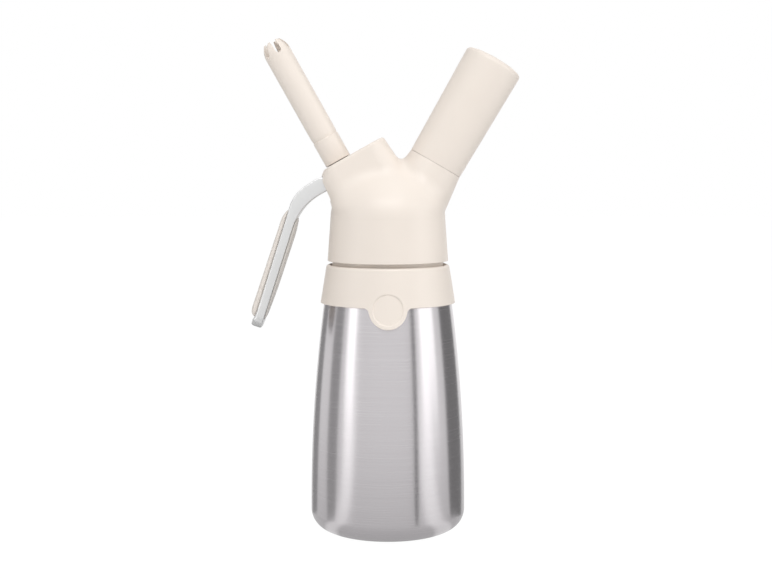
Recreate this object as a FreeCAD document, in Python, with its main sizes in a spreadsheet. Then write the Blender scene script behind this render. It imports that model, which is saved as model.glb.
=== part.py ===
import FreeCAD, Part
import math
import os
import re
import Sketcher

# Whipped cream dispenser: a drawn steel bottle, a moulded two-armed head with a lever valve,
# a screw-on decorator tip and a screw-on gas charger holder. Millimetres, +Z up, origin at
# the centre of the foot, lever and tip towards -X, charger holder towards +X.

doc = FreeCAD.newDocument("whipped_cream_dispenser")

SIZES = (
    # bottle
    ("bottle_radius", 37.4), ("belly_height", 12.0), ("shoulder_reach", 4.44), ("foot_round", 9.4),
    ("foot_radius", 22.0), ("base_recess", 1.5), ("bottle_wall", 0.9), ("shoulder_height", 121.0),
    ("shoulder_round", 3.0), ("neck_radius", 25.4), ("neck_wall", 1.7), ("neck_length", 19.0),
    # neck collar
    ("collar_drop", 10.6), ("collar_height", 18.7), ("collar_round", 1.5), ("collar_web", 2.0),
    ("collar_fit", 0.1), ("collar_wall", 1.75), ("collar_foot_wall", 1.71), ("badge_radius", 9.0), ("badge_drop", 0.7), ("badge_blend", 2.5),
    ("badge_rim", 1.8), ("badge_recess", 0.5),
    # head housing
    ("head_gap", 1.4), ("skirt_step", 0.65), ("skirt_taper", 1.1), ("skirt_height", 20.5),
    ("skirt_bevel", 0.35), ("skirt_bevel_height", 2.0), ("dome_round", 20.0), ("lip_wall", 1.8),
    ("lip_gap", 0.6), ("lip_length", 4.5), ("thread_gap", 0.4), ("gasket_height", 2.2),
    ("gasket_inset", 0.2), ("gasket_overhang", 2.1), ("cavity_inset", 0.6), ("cavity_height", 6.8),
    ("cavity_bevel", 3.0), ("blend_radius", 4.0), ("edge_round", 1.2), ("cut_past", 1.0),
    # valve side of the head, on the tip's axis
    ("tip_axis_x", -23.6), ("tip_axis_rise", 47.5), ("tip_tilt", 29.3), ("block_left", 11.4),
    ("block_right", 24.4), ("block_width", 28.0), ("block_corner", 8.5), ("block_depth", 27.0),
    ("block_flare", 5.0), ("block_roof", 2.4), ("roof_room", 0.9),
    # charger side of the head, on the charger's axis
    ("charger_axis_x", 22.73), ("charger_axis_rise", 46.55), ("charger_tilt", 30.0),
    ("arm_depth", 22.0), ("arm_flare", 7.0),
    # valve
    ("running_gap", 0.05), ("stem_radius", 2.6), ("stem_bore", 1.5), ("stem_thread", 8.6),
    ("stem_port", 1.1), ("valve_stroke", 2.5), ("sleeve_radius", 4.2), ("sleeve_top", 0.8),
    ("flange_radius", 6.2), ("flange_thick", 1.6), ("spring_length", 7.95), ("spring_inset", 0.9),
    ("spring_wire", 1.0), ("spring_turns", 4.5), ("bush_radius", 6.5),
    ("bush_length", 6.0), ("ring_section", 0.85), ("ring_pocket", 1.8), ("port_room", 5.0),
    ("seat_radius", 4.4), ("seal_radius", 7.0), ("seal_thick", 1.4), ("valve_radius", 7.5),
    ("valve_thick", 2.8), ("valve_crown", 0.8), ("valve_bevel", 2.4), ("valve_room", 1.9),
    # lever
    ("lever_gap", 0.35), ("shank_thick", 6.6), ("lever_width", 17.6), ("lever_side_gap", 0.4),
    ("pivot_reach", 17.4), ("pin_radius", 1.5), ("pin_length", 23.0), ("fork_room", 0.5),
    ("fork_left", 8.5), ("fork_right", 9.0), ("fork_relief", 1.15), ("relief_run", 2.3),
    ("pad_round", 2.8),
    ("pad_gap", 0.1), ("bend_reach", 25.8), ("lever_bend", 42.8), ("bend_outer", 17.5),
    ("bend_inner", 28.0), ("blade_thick", 4.5), ("blade_length", 66.9), ("lip_rise", 0.7),
    ("lip_ramp", 2.0), ("lip_thick", 4.0), ("lip_round", 1.2), ("foot_corner", 4.5),
    ("lever_edge", 0.6), ("lever_swing", 8.2), ("slot_room", 0.9),
    # lever grips
    ("grip_inset", 0.6), ("grip_edge", 0.7), ("outer_grip_start", 8.0), ("outer_grip_lead", 5.1),
    ("outer_grip_shoulder", 2.0), ("outer_grip_crown", 2.7), ("outer_grip_thick", 2.8),
    ("outer_grip_ramp", 9.6), ("outer_grip_sweep", 224.0), ("inner_grip_lead", 10.0),
    ("inner_grip_start", 18.0), ("inner_grip_shoulder", 1.3), ("inner_grip_crest", 12.8),
    ("inner_grip_thick", 2.1), ("inner_grip_ramp", 60.0), ("inner_grip_sweep", 192.0),
    ("inner_grip_end", 0.9), ("grip_end_gap", 1.2),
    # decorator tip
    ("tip_gasket_thick", 1.2), ("tip_gasket_radius", 5.0), ("seam_step", 0.05),
    ("adapter_length", 12.5), ("adapter_neck", 8.0), ("adapter_passage", 1.9), ("mouth_flare", 1.0),
    ("mouth_depth", 1.5), ("seam_bevel", 0.25), ("tulip_radius", 6.5),
    ("tulip_length", 52.0), ("tulip_wall", 1.5), ("teeth_length", 6.4), ("teeth_inset", 1.8),
    ("teeth_wall", 0.9), ("teeth_bend", 12.0), ("teeth_count", 6), ("notch_width", 2.9),
    # gas charger, its holder and the threaded boss in the head
    ("seam_gap", 0.3), ("boss_wall", 0.95), ("boss_depth", 17.0), ("boss_thread_step", 0.65),
    ("boss_thread", 12.0), ("boss_floor", 3.5), ("charger_radius", 8.9), ("charger_length", 65.5),
    ("charger_neck", 3.9), ("charger_neck_length", 7.0), ("charger_shoulder", 9.0),
    ("charger_wall", 1.6), ("charger_room", 0.5), ("charger_lift", 0.8), ("neck_bevel", 0.6),
    ("neck_floor", 1.0), ("seal_height", 1.8), ("needle_radius", 1.1), ("needle_base", 2.5),
    ("needle_reach", 2.6), ("needle_bore", 0.5), ("needle_edge", 0.1), ("pierced_hole", 1.4),
    ("holder_skin", 1.0), ("holder_flare", 1.05), ("holder_crown", 2.0), ("holder_end_wall", 2.1),
    ("holder_round", 2.0), ("insert_wall", 1.0), ("insert_length", 11.6), ("inlet_radius", 3.6),
    ("inlet_length", 6.0), ("inlet_bore", 1.0), ("flap_thick", 0.8), ("flap_room", 2.4),
    ("flap_radius", 3.2), ("gas_channel", 1.2), ("gas_channel_length", 8.5),
)

sheet = doc.addObject("Spreadsheet::Sheet", "Sizes")
for row, (alias, number) in enumerate(SIZES, start=1):
    sheet.set("A%d" % row, alias)
    sheet.set("B%d" % row, str(number))
    sheet.setAlias("B%d" % row, alias)
doc.recompute()

ALIAS = re.compile(r"[a-z]+(?:_[a-z]+)+")
STRAIGHT_UP = FreeCAD.Vector(0, 0, 1)
ALONG_Y = FreeCAD.Vector(0, 1, 0)


def on_sheet(text):
    """An expression whose aliases carry the sheet's name."""
    return ALIAS.sub(r"Sizes.\g<0>", text)


def size(text):
    """The number that an expression on the sheet's aliases gives."""
    return float(sheet.evalExpression(on_sheet(text)))


# Places along the three axes that more than one piece uses. On the tip's axis, heights count
# outwards from the head's top face; on the charger's axis, from the seam below the holder.
NECK_RIM = "(shoulder_height + neck_length)"
WALL_TOP = "(shoulder_height - shoulder_round)"
COLLAR_FOOT = "(shoulder_height - collar_drop)"
COLLAR_TOP = "(%s + collar_height)" % COLLAR_FOOT
HEAD_FOOT = "(%s + head_gap)" % COLLAR_TOP
GASKET_TOP = "(%s + gasket_height)" % NECK_RIM
CAVITY_TOP = "(%s + cavity_height)" % GASKET_TOP

# Radii about the bottle's axis, from the bottle's neck outwards.
GASKET_RADIUS = "(neck_radius - gasket_inset)"
GASKET_BORE = "(neck_radius - neck_wall - gasket_overhang)"
CAVITY_RADIUS = "(%s - cavity_inset)" % GASKET_BORE
THREAD_BORE = "(neck_radius + thread_gap)"
LIP_RADIUS = "(%s + lip_wall)" % THREAD_BORE
COLLAR_BORE = "(%s + lip_gap)" % LIP_RADIUS
COLLAR_TOP_RADIUS = "(%s + collar_wall)" % COLLAR_BORE
SKIRT_RADIUS = "(%s - skirt_step)" % COLLAR_TOP_RADIUS
SKIRT_TOP_RADIUS = "(%s - skirt_taper)" % SKIRT_RADIUS
SHOULDER_RADIUS = "(neck_radius + shoulder_reach)"

# Radii about the charger's axis, from the cartridge outwards.
CUP_RADIUS = "(charger_radius + charger_room)"
BOSS_RADIUS = "(%s + boss_wall)" % CUP_RADIUS
BOSS_THREAD_RADIUS = "(%s + boss_thread_step)" % BOSS_RADIUS
INSERT_BORE = "(%s + thread_gap)" % BOSS_THREAD_RADIUS
INSERT_RADIUS = "(%s + insert_wall)" % INSERT_BORE
ARM_RADIUS = "(%s + holder_skin)" % INSERT_RADIUS

# Where each tilted axis meets the head's face or seam: its x, its height and its turn about Y.
FRAMES = {"tip": ("tip_axis_x", "(%s + tip_axis_rise)" % HEAD_FOOT, "-tip_tilt"),
          "charger": ("charger_axis_x", "(%s + charger_axis_rise)" % HEAD_FOOT, "charger_tilt")}

SHANK_TOP = "(-(block_roof + lever_gap))"
SHANK_FOOT = "(%s - shank_thick)" % SHANK_TOP
PIVOT = "(%s - shank_thick / 2)" % SHANK_TOP
FLANGE_TOP = "(%s - pad_gap)" % SHANK_FOOT
FLANGE_FOOT = "(%s - flange_thick)" % FLANGE_TOP
SPRING_FOOT = "(%s - spring_length)" % FLANGE_FOOT
BUSH_FOOT = "(%s - bush_length)" % SPRING_FOOT
SEAT = "(%s - port_room)" % BUSH_FOOT
SEAL_FOOT = "(%s - seal_thick)" % SEAT
VALVE_FOOT = "(%s - valve_thick)" % SEAL_FOOT
ADAPTER_FOOT = "(tip_gasket_thick - sleeve_top)"
STEM_TOP = "(%s + stem_thread)" % ADAPTER_FOOT
ADAPTER_TOP = "(%s + adapter_length)" % ADAPTER_FOOT
TULIP_TOP = "(%s + tulip_length)" % ADAPTER_TOP
SLOT_HALF = "(lever_width / 2 + lever_side_gap)"
SLOT_FLOOR = ("(%s - (pivot_reach + block_left) * sin(lever_swing) - slot_room)" % SHANK_FOOT)

BOSS_FOOT = "(-boss_depth)"
BOSS_SEAT = "(%s + boss_floor)" % BOSS_FOOT
NECK_TIP = "(%s + seal_height + charger_lift)" % BOSS_SEAT
CHARGER_TOP = "(%s + charger_length)" % NECK_TIP
CHARGER_END = "(%s - charger_radius)" % CHARGER_TOP
BORE_END = "(%s + charger_room)" % CHARGER_END
BORE_TOP = "(%s + %s)" % (BORE_END, CUP_RADIUS)
HOLDER_TOP = "(%s + holder_end_wall)" % BORE_TOP
SHOULDER_FOOT = "(%s + charger_neck_length)" % NECK_TIP
SHOULDER_TOP = "(%s + charger_shoulder)" % SHOULDER_FOOT
INLET_FOOT = "(%s - inlet_length)" % BOSS_FOOT
FLAP_FOOT = "(%s - flap_thick)" % INLET_FOOT
POCKET_FOOT = "(%s - flap_room)" % FLAP_FOOT


# The bottle's long wall is one arc, upright at the belly, that ends on the shoulder's radius.
BOTTLE_DRAW = "(bottle_radius - %s)" % SHOULDER_RADIUS
BOTTLE_SWEEP = ("(((%s - belly_height)^2 + %s^2) / (2 * %s))" % (WALL_TOP, BOTTLE_DRAW, BOTTLE_DRAW))


def bottle_wall_radius(height):
    """The outer radius of the bottle's long arc at a height."""
    return ("(bottle_radius - %s + sqrt(%s^2 - (%s - belly_height)^2))"
            % (BOTTLE_SWEEP, BOTTLE_SWEEP, height))


def on_blade(along, out):
    """A point of the lever's blade: along it from the bend, and out from its outer face."""
    across = "(-bend_reach - (%s) * cos(lever_bend) - (%s) * sin(lever_bend))" % (along, out)
    up = "(%s - (%s) * sin(lever_bend) + (%s) * cos(lever_bend))" % (SHANK_TOP, along, out)
    return across, up


def new_body(label, frame=None):
    """A body in the object's frame, or upright on the tip's or the charger's axis."""
    body = doc.addObject("PartDesign::Body", label + "_body")
    body.Label = label
    if frame:
        across, height, turn = FRAMES[frame]
        body.Placement = FreeCAD.Placement(FreeCAD.Vector(), FreeCAD.Rotation(ALONG_Y, size(turn)))
        body.setExpression("Placement.Rotation.Angle", on_sheet(turn))
        body.setExpression("Placement.Base.x", on_sheet(across))
        body.setExpression("Placement.Base.z", on_sheet(height))
    return body


def new_sketch(body, name, plane="XZ_Plane", frame=None):
    """An empty sketch on a plane of its own body, turned onto a tilted axis if one is named."""
    sketch = body.newObject("Sketcher::SketchObject", name)
    origin_plane = [item for item in body.Origin.OriginFeatures if item.Role == plane][0]
    sketch.AttachmentSupport = [(origin_plane, "")]
    sketch.MapMode = "FlatFace"
    if frame:
        across, height, turn = FRAMES[frame]
        upright = plane == "XZ_Plane"
        axis = STRAIGHT_UP if upright else ALONG_Y
        turn = "-(%s)" % turn if upright else turn
        rise = "y" if upright else "z"
        sketch.AttachmentOffset = FreeCAD.Placement(
            FreeCAD.Vector(), FreeCAD.Rotation(axis, size(turn)))
        sketch.setExpression("AttachmentOffset.Rotation.Angle", on_sheet(turn))
        sketch.setExpression("AttachmentOffset.Base.x", on_sheet(across))
        sketch.setExpression("AttachmentOffset.Base." + rise, on_sheet(height))
    return sketch


def arc_between(start, end, radius):
    """The short arc from start to end; it turns left where the radius is positive."""
    chord = end - start
    middle = (start + end) / 2
    rise = math.sqrt(max(radius ** 2 - (chord.Length / 2) ** 2, 0.0))
    left = FreeCAD.Vector(-chord.y, chord.x, 0).normalize()
    side = 1 if radius > 0 else -1
    centre = middle + left * rise * side
    first, last = (start, end) if radius > 0 else (end, start)
    circle = Part.Circle(centre, STRAIGHT_UP, abs(radius))
    return Part.ArcOfCircle(circle, math.atan2(first.y - centre.y, first.x - centre.x),
                            math.atan2(last.y - centre.y, last.x - centre.x))


def outline(sketch, points, arcs=None):
    """A closed outline through points given as expressions; arcs maps a side to its radius."""
    arcs = arcs or {}
    corners = [FreeCAD.Vector(size(across), size(up), 0) for across, up in points]
    first_end = []
    for index, start in enumerate(corners):
        end = corners[(index + 1) % len(corners)]
        if index in arcs:
            radius = size(arcs[index])
            side = sketch.addGeometry(arc_between(start, end, radius), False)
            first_end.append((side, 1, 2) if radius > 0 else (side, 2, 1))
            held = sketch.addConstraint(Sketcher.Constraint("Radius", side, abs(radius)))
            sketch.setExpression("Constraints[%d]" % held, on_sheet("abs(%s)" % arcs[index]))
        else:
            side = sketch.addGeometry(Part.LineSegment(start, end), False)
            first_end.append((side, 1, 2))
    for index, (side, near, far) in enumerate(first_end):
        following = first_end[(index + 1) % len(first_end)]
        sketch.addConstraint(Sketcher.Constraint("Coincident", side, far, *following[:2]))
        for kind, text, number in (("DistanceX", points[index][0], corners[index].x),
                                   ("DistanceY", points[index][1], corners[index].y)):
            held = sketch.addConstraint(Sketcher.Constraint(kind, -1, 1, side, near, number))
            sketch.setExpression("Constraints[%d]" % held, on_sheet(text))
    return sketch


def circle_at(sketch, across, up, radius):
    """A circle whose centre and radius are expressions."""
    centre = FreeCAD.Vector(size(across), size(up), 0)
    ring = sketch.addGeometry(Part.Circle(centre, STRAIGHT_UP, size(radius)), False)
    for kind, ends, text in (("DistanceX", (-1, 1, ring, 3), across),
                             ("DistanceY", (-1, 1, ring, 3), up), ("Radius", (ring,), radius)):
        held = sketch.addConstraint(Sketcher.Constraint(kind, *ends, size(text)))
        sketch.setExpression("Constraints[%d]" % held, on_sheet(text))
    return sketch


def turned(body, name, points, arcs=None, cut=False, frame=None):
    """A revolved section, added to the body or cut from it."""
    sketch = outline(new_sketch(body, name + "_section", frame=frame), points, arcs)
    feature = body.newObject("PartDesign::Groove" if cut else "PartDesign::Revolution", name)
    feature.Profile = sketch
    feature.ReferenceAxis = (sketch, ["V_Axis"])
    feature.Angle = 360
    doc.recompute()
    return feature


def across_y(body, name, sketch, width, cut=False):
    """A section of the XZ plane carried to both sides of it, added or cut."""
    feature = body.newObject("PartDesign::Pocket" if cut else "PartDesign::Pad", name)
    feature.Profile = sketch
    feature.SideType = "Symmetric"
    feature.setExpression("Length", on_sheet(width))
    doc.recompute()
    return feature


def rounded(body, name, chosen, radius):
    """A fillet on the edges of the body's last feature that a test picks."""
    base = body.Tip
    names = ["Edge%d" % number for number, edge in enumerate(base.Shape.Edges, start=1)
             if not edge.Degenerated and chosen(edge)]
    if not names:
        raise RuntimeError("no edge to round for " + name)
    feature = body.newObject("PartDesign::Fillet", name)
    feature.Base = (base, names)
    feature.setExpression("Radius", on_sheet(radius))
    doc.recompute()
    return feature


def ring_at(height, radius, tolerance=0.02):
    """A test for the level circle of a body's own axis at a height and radius."""
    height, radius = size(height), size(radius)

    def chosen(edge):
        curve = edge.Curve
        return (isinstance(curve, Part.Circle) and abs(curve.Radius - radius) < tolerance
                and abs(curve.Center.z - height) < tolerance and abs(curve.Axis.z) > 0.999)
    return chosen


def tube_section(inner, outer, low, high):
    """The section of a plain ring or tube."""
    return [(inner, low), (outer, low), (outer, high), (inner, high)]


# Bottle: drawn from one steel cup, so floor, wall, shoulder and neck are one closed section.
foot_line = "(bottle_radius - foot_round)"
ledge_radius = "(%s - shoulder_round)" % SHOULDER_RADIUS
bottle = new_body("bottle")
turned(bottle, "drawn_cup", [
    ("0", "base_recess"),
    ("foot_radius - base_recess", "base_recess"),
    ("foot_radius", "0"),
    (foot_line, "0"),
    ("bottle_radius", "foot_round"),
    ("bottle_radius", "belly_height"),
    (SHOULDER_RADIUS, WALL_TOP),
    (ledge_radius, "shoulder_height"),
    ("neck_radius", "shoulder_height"),
    ("neck_radius", NECK_RIM),
    ("neck_radius - neck_wall", NECK_RIM),
    ("neck_radius - neck_wall", "shoulder_height - bottle_wall"),
    (ledge_radius, "shoulder_height - bottle_wall"),
    ("%s - bottle_wall" % SHOULDER_RADIUS, WALL_TOP),
    ("bottle_radius - bottle_wall", "belly_height"),
    ("bottle_radius - bottle_wall", "foot_round"),
    (foot_line, "bottle_wall"),
    ("foot_radius + bottle_wall / 2", "bottle_wall"),
    ("foot_radius - base_recess + bottle_wall / 2", "base_recess + bottle_wall"),
    ("0", "base_recess + bottle_wall"),
], arcs={3: "foot_round", 5: BOTTLE_SWEEP, 6: "shoulder_round",
         12: "-(shoulder_round - bottle_wall)", 13: "-(%s - bottle_wall)" % BOTTLE_SWEEP,
         15: "-(foot_round - bottle_wall)"})
rounded(bottle, "rolled_rim", ring_at(NECK_RIM, "neck_radius"), "bottle_wall / 2")

# Collar: a moulded ring that drops over the neck and rests on the bottle's shoulder. A round
# tab hangs from its front edge and carries a shallow bare disc.
ring_inner_foot = "(%s + collar_fit)" % bottle_wall_radius(COLLAR_FOOT)
ring_outer_foot = "(%s + collar_foot_wall)" % ring_inner_foot
collar_slope = "((%s - %s) / collar_height)" % (ring_outer_foot, COLLAR_TOP_RADIUS)
tab_foot = "(%s - badge_drop - badge_radius)" % COLLAR_FOOT
tab_inner_foot = "(%s + collar_fit)" % bottle_wall_radius(tab_foot)
tab_outer_foot = "(%s + %s * (badge_drop + badge_radius))" % (ring_outer_foot, collar_slope)
collar = new_body("collar_blank")
turned(collar, "collar_ring", [
    (tab_inner_foot, tab_foot),
    (tab_outer_foot, tab_foot),
    (COLLAR_TOP_RADIUS, COLLAR_TOP),
    (COLLAR_BORE, COLLAR_TOP),
    (COLLAR_BORE, "shoulder_height + collar_web"),
    ("neck_radius + collar_fit", "shoulder_height + collar_web"),
    ("neck_radius + collar_fit", "shoulder_height"),
    ("%s + collar_fit" % SHOULDER_RADIUS, "shoulder_height"),
    ("%s + collar_fit" % SHOULDER_RADIUS, WALL_TOP),
    (ring_inner_foot, COLLAR_FOOT),
])
rounded(collar, "collar_top_round", ring_at(COLLAR_TOP, COLLAR_TOP_RADIUS), "collar_round")
badge_height = "(%s - badge_drop)" % COLLAR_FOOT
blend_reach = ("sqrt((badge_radius + badge_blend)^2 - (badge_blend - badge_drop)^2)")
touch_share = "(badge_radius / (badge_radius + badge_blend))"
touch_reach = "(%s * %s)" % (blend_reach, touch_share)
touch_height = "(%s - (badge_blend - badge_drop) * %s)" % (badge_height, touch_share)
clear_reach = "(%s + badge_radius)" % tab_outer_foot
clear_foot = "(%s - badge_radius)" % tab_foot
below_tab = outline(new_sketch(collar, "below_collar_section"), [
    ("-" + clear_reach, clear_foot),
    (clear_reach, clear_foot),
    (clear_reach, COLLAR_FOOT),
    (blend_reach, COLLAR_FOOT),
    (touch_reach, touch_height),
    ("-" + touch_reach, touch_height),
    ("-" + blend_reach, COLLAR_FOOT),
    ("-" + clear_reach, COLLAR_FOOT),
], arcs={3: "badge_blend", 4: "-badge_radius", 5: "badge_blend"})
across_y(collar, "below_collar", below_tab, "2 * " + clear_reach, cut=True)
behind_tab = outline(new_sketch(collar, "rear_below_collar_section"), [
    ("-" + clear_reach, clear_foot), (clear_reach, clear_foot),
    (clear_reach, COLLAR_FOOT), ("-" + clear_reach, COLLAR_FOOT)])
rear_cut = collar.newObject("PartDesign::Pocket", "rear_below_collar")
rear_cut.Profile = behind_tab
rear_cut.setExpression("Length", on_sheet(clear_reach))
doc.recompute()

recess_shell = doc.addObject("Part::Feature", "badge_recess_shell")


def shell_outside_collar():
    """The space outside the badge's sunken face: a cone's shell, deeper than the recess."""
    low, high = size(tab_foot), size(COLLAR_TOP)
    low_radius, high_radius = size(tab_outer_foot), size(COLLAR_TOP_RADIUS)
    depth, beyond = size("badge_recess"), size("badge_radius")
    inner = Part.makeCone(low_radius - depth, high_radius - depth, high - low,
                          FreeCAD.Vector(0, 0, low))
    outer = Part.makeCone(low_radius + beyond, high_radius + beyond, high - low,
                          FreeCAD.Vector(0, 0, low))
    return outer.cut(inner)


recess_shell.Shape = shell_outside_collar()
badge_plug = doc.addObject("Part::Cylinder", "badge_plug")
badge_plug.Placement = FreeCAD.Placement(
    FreeCAD.Vector(), FreeCAD.Rotation(FreeCAD.Vector(1, 0, 0), 90))
badge_plug.setExpression("Placement.Base.z", on_sheet(badge_height))
badge_plug.setExpression("Radius", on_sheet("badge_radius - badge_rim"))
badge_plug.setExpression("Height", on_sheet(clear_reach))
badge_recess = doc.addObject("Part::Common", "badge_recess_space")
badge_recess.Base = recess_shell
badge_recess.Tool = badge_plug
neck_collar = doc.addObject("Part::Cut", "neck_collar_cut")
neck_collar.Label = "neck_collar"
neck_collar.Base = collar
neck_collar.Tool = badge_recess
doc.recompute()

# Gasket between the rim and the head.
head_gasket = new_body("head_gasket")
turned(head_gasket, "gasket_ring",
       tube_section(GASKET_BORE, GASKET_RADIUS, NECK_RIM, GASKET_TOP))

# Head housing: one moulding. A skirt with the bottle's thread and a rounded shoulder, a block
# for the valve and lever on the tip's axis, and an arm for the charger on the other side.
head = new_body("head_housing")
dome_centre = "(%s - dome_round)" % SKIRT_TOP_RADIUS
dome_top = "(%s + skirt_height + dome_round)" % HEAD_FOOT
turned(head, "skirt_and_dome", [
    (THREAD_BORE, "%s - lip_length" % HEAD_FOOT),
    (LIP_RADIUS, "%s - lip_length" % HEAD_FOOT),
    (LIP_RADIUS, HEAD_FOOT),
    (SKIRT_RADIUS + " - skirt_bevel", HEAD_FOOT),
    (SKIRT_RADIUS, "%s + skirt_bevel_height" % HEAD_FOOT),
    (SKIRT_TOP_RADIUS, "%s + skirt_height" % HEAD_FOOT),
    (dome_centre, dome_top),
    ("0", dome_top),
    ("0", CAVITY_TOP),
    (CAVITY_RADIUS + " - cavity_bevel", CAVITY_TOP),
    (CAVITY_RADIUS, "%s - cavity_bevel" % CAVITY_TOP),
    (CAVITY_RADIUS, GASKET_TOP),
    (THREAD_BORE, GASKET_TOP),
], arcs={5: "dome_round"})

block_plan = outline(new_sketch(head, "block_plan", plane="XY_Plane", frame="tip"), [
    ("-block_left + block_corner", "-block_width / 2"),
    ("block_right - block_corner", "-block_width / 2"),
    ("block_right", "-block_width / 2 + block_corner"),
    ("block_right", "block_width / 2 - block_corner"),
    ("block_right - block_corner", "block_width / 2"),
    ("-block_left + block_corner", "block_width / 2"),
    ("-block_left", "block_width / 2 - block_corner"),
    ("-block_left", "-block_width / 2 + block_corner"),
], arcs={1: "block_corner", 3: "block_corner", 5: "block_corner", 7: "block_corner"})
block = head.newObject("PartDesign::Pad", "valve_block")
block.Profile = block_plan
block.Reversed = True
block.setExpression("Length", on_sheet("block_depth"))
block.setExpression("TaperAngle", on_sheet("block_flare"))
doc.recompute()

turned(head, "charger_arm", [
    ("0", "-arm_depth"),
    (ARM_RADIUS + " + arm_depth * tan(arm_flare)", "-arm_depth"),
    (ARM_RADIUS, "0"),
    ("0", "0"),
], frame="charger")


def is_blend(edge):
    """An edge where two of the head's three masses meet."""
    return "BSpline" in type(edge.Curve).__name__


rounded(head, "soft_blends", is_blend, "blend_radius")


def on_block_top(edge):
    """An edge of the valve block's top face."""
    reach, lift, turn = (size(text) for text in FRAMES["tip"])
    tilt = math.radians(turn)
    for vertex in edge.Vertexes:
        out = (vertex.Point.z - lift) * math.cos(tilt) + (vertex.Point.x - reach) * math.sin(tilt)
        if abs(out) > 0.01:
            return False
    return True


rounded(head, "block_top_round", on_block_top, "edge_round")

# The lever's slot, its pin bore and the stepped bore for the valve.
slot_reach = "(block_left + block_depth)"
slot_end = "(pivot_reach + shank_thick / 2 + slot_room)"
slot = outline(new_sketch(head, "lever_slot_section", frame="tip"), [
    ("-" + slot_reach, SLOT_FLOOR),
    (slot_end, SLOT_FLOOR),
    (slot_end, "-block_roof"),
    ("-" + slot_reach, "-block_roof"),
])
across_y(head, "lever_slot", slot, "2 * " + SLOT_HALF, cut=True)
pin_circle = circle_at(new_sketch(head, "pin_bore_circle", frame="tip"),
                       "pivot_reach", PIVOT, "pin_radius")
across_y(head, "pin_bore", pin_circle, "pin_length", cut=True)
turned(head, "roof_hole", tube_section(
    "0", "flange_radius + roof_room", "-block_roof - cut_past", "cut_past"), cut=True, frame="tip")
bore_foot = "(%s - valve_room - valve_stroke - valve_crown - port_room)" % VALVE_FOOT
turned(head, "valve_bore", [
    ("0", bore_foot),
    ("valve_radius + valve_room", bore_foot),
    ("valve_radius + valve_room", SEAT),
    ("seat_radius", SEAT),
    ("seat_radius", BUSH_FOOT),
    ("bush_radius", BUSH_FOOT),
    ("bush_radius", SLOT_FLOOR + " + cut_past"),
    ("0", SLOT_FLOOR + " + cut_past"),
], cut=True, frame="tip")
turned(head, "charger_bore", [
    ("0", "%s - gas_channel_length" % POCKET_FOOT),
    ("gas_channel", "%s - gas_channel_length" % POCKET_FOOT),
    ("gas_channel", POCKET_FOOT),
    ("inlet_radius", POCKET_FOOT),
    ("inlet_radius", BOSS_FOOT),
    (BOSS_RADIUS, BOSS_FOOT),
    (BOSS_RADIUS, "cut_past"),
    ("0", "cut_past"),
], cut=True, frame="charger")

# Valve: a hollow stem with a disc at its foot, a rubber washer that closes on the head's seat,
# a flanged sleeve that the lever presses, a return spring, a guide bush and its O-ring.
stem = new_body("valve_stem", "tip")
turned(stem, "stem_and_disc", [
    ("0", "%s - valve_crown" % VALVE_FOOT),
    ("valve_radius - valve_bevel", "%s - valve_crown" % VALVE_FOOT),
    ("valve_radius", VALVE_FOOT),
    ("valve_radius", SEAL_FOOT),
    ("stem_radius", SEAL_FOOT),
    ("stem_radius", STEM_TOP),
    ("stem_bore", STEM_TOP),
    ("stem_bore", SEAT + " + stem_bore"),
    ("0", SEAT),
])
port_height = "(%s + port_room / 2)" % SEAT
port = circle_at(new_sketch(stem, "port_circle"), "0", port_height, "stem_port")
across_y(stem, "cross_port", port, "2 * stem_radius + 2 * cut_past", cut=True)

sleeve = new_body("thrust_sleeve", "tip")
turned(sleeve, "flanged_sleeve", [
    ("stem_radius", FLANGE_FOOT),
    ("flange_radius", FLANGE_FOOT),
    ("flange_radius", FLANGE_TOP),
    ("sleeve_radius", FLANGE_TOP),
    ("sleeve_radius", "-sleeve_top"),
    ("stem_radius", "-sleeve_top"),
])

valve_seal = new_body("valve_seal", "tip")
turned(valve_seal, "seal_washer", tube_section("stem_radius", "seal_radius", SEAL_FOOT, SEAT))

pocket_radius = "(stem_radius + 2 * running_gap + 2 * ring_section)"
bush = new_body("stem_guide_bush", "tip")
turned(bush, "bush_with_ring_pocket", [
    (pocket_radius, BUSH_FOOT),
    ("bush_radius", BUSH_FOOT),
    ("bush_radius", SPRING_FOOT),
    ("stem_radius + running_gap", SPRING_FOOT),
    ("stem_radius + running_gap", "%s + ring_pocket" % BUSH_FOOT),
    (pocket_radius, "%s + ring_pocket" % BUSH_FOOT),
])

o_ring = new_body("stem_o_ring", "tip")
ring_circle = circle_at(new_sketch(o_ring, "ring_circle"),
                        "stem_radius + running_gap + ring_section",
                        "%s + ring_section" % BUSH_FOOT, "ring_section")
o_ring_turn = o_ring.newObject("PartDesign::Revolution", "o_ring_turn")
o_ring_turn.Profile = ring_circle
o_ring_turn.ReferenceAxis = (ring_circle, ["V_Axis"])
o_ring_turn.Angle = 360
doc.recompute()

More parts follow.
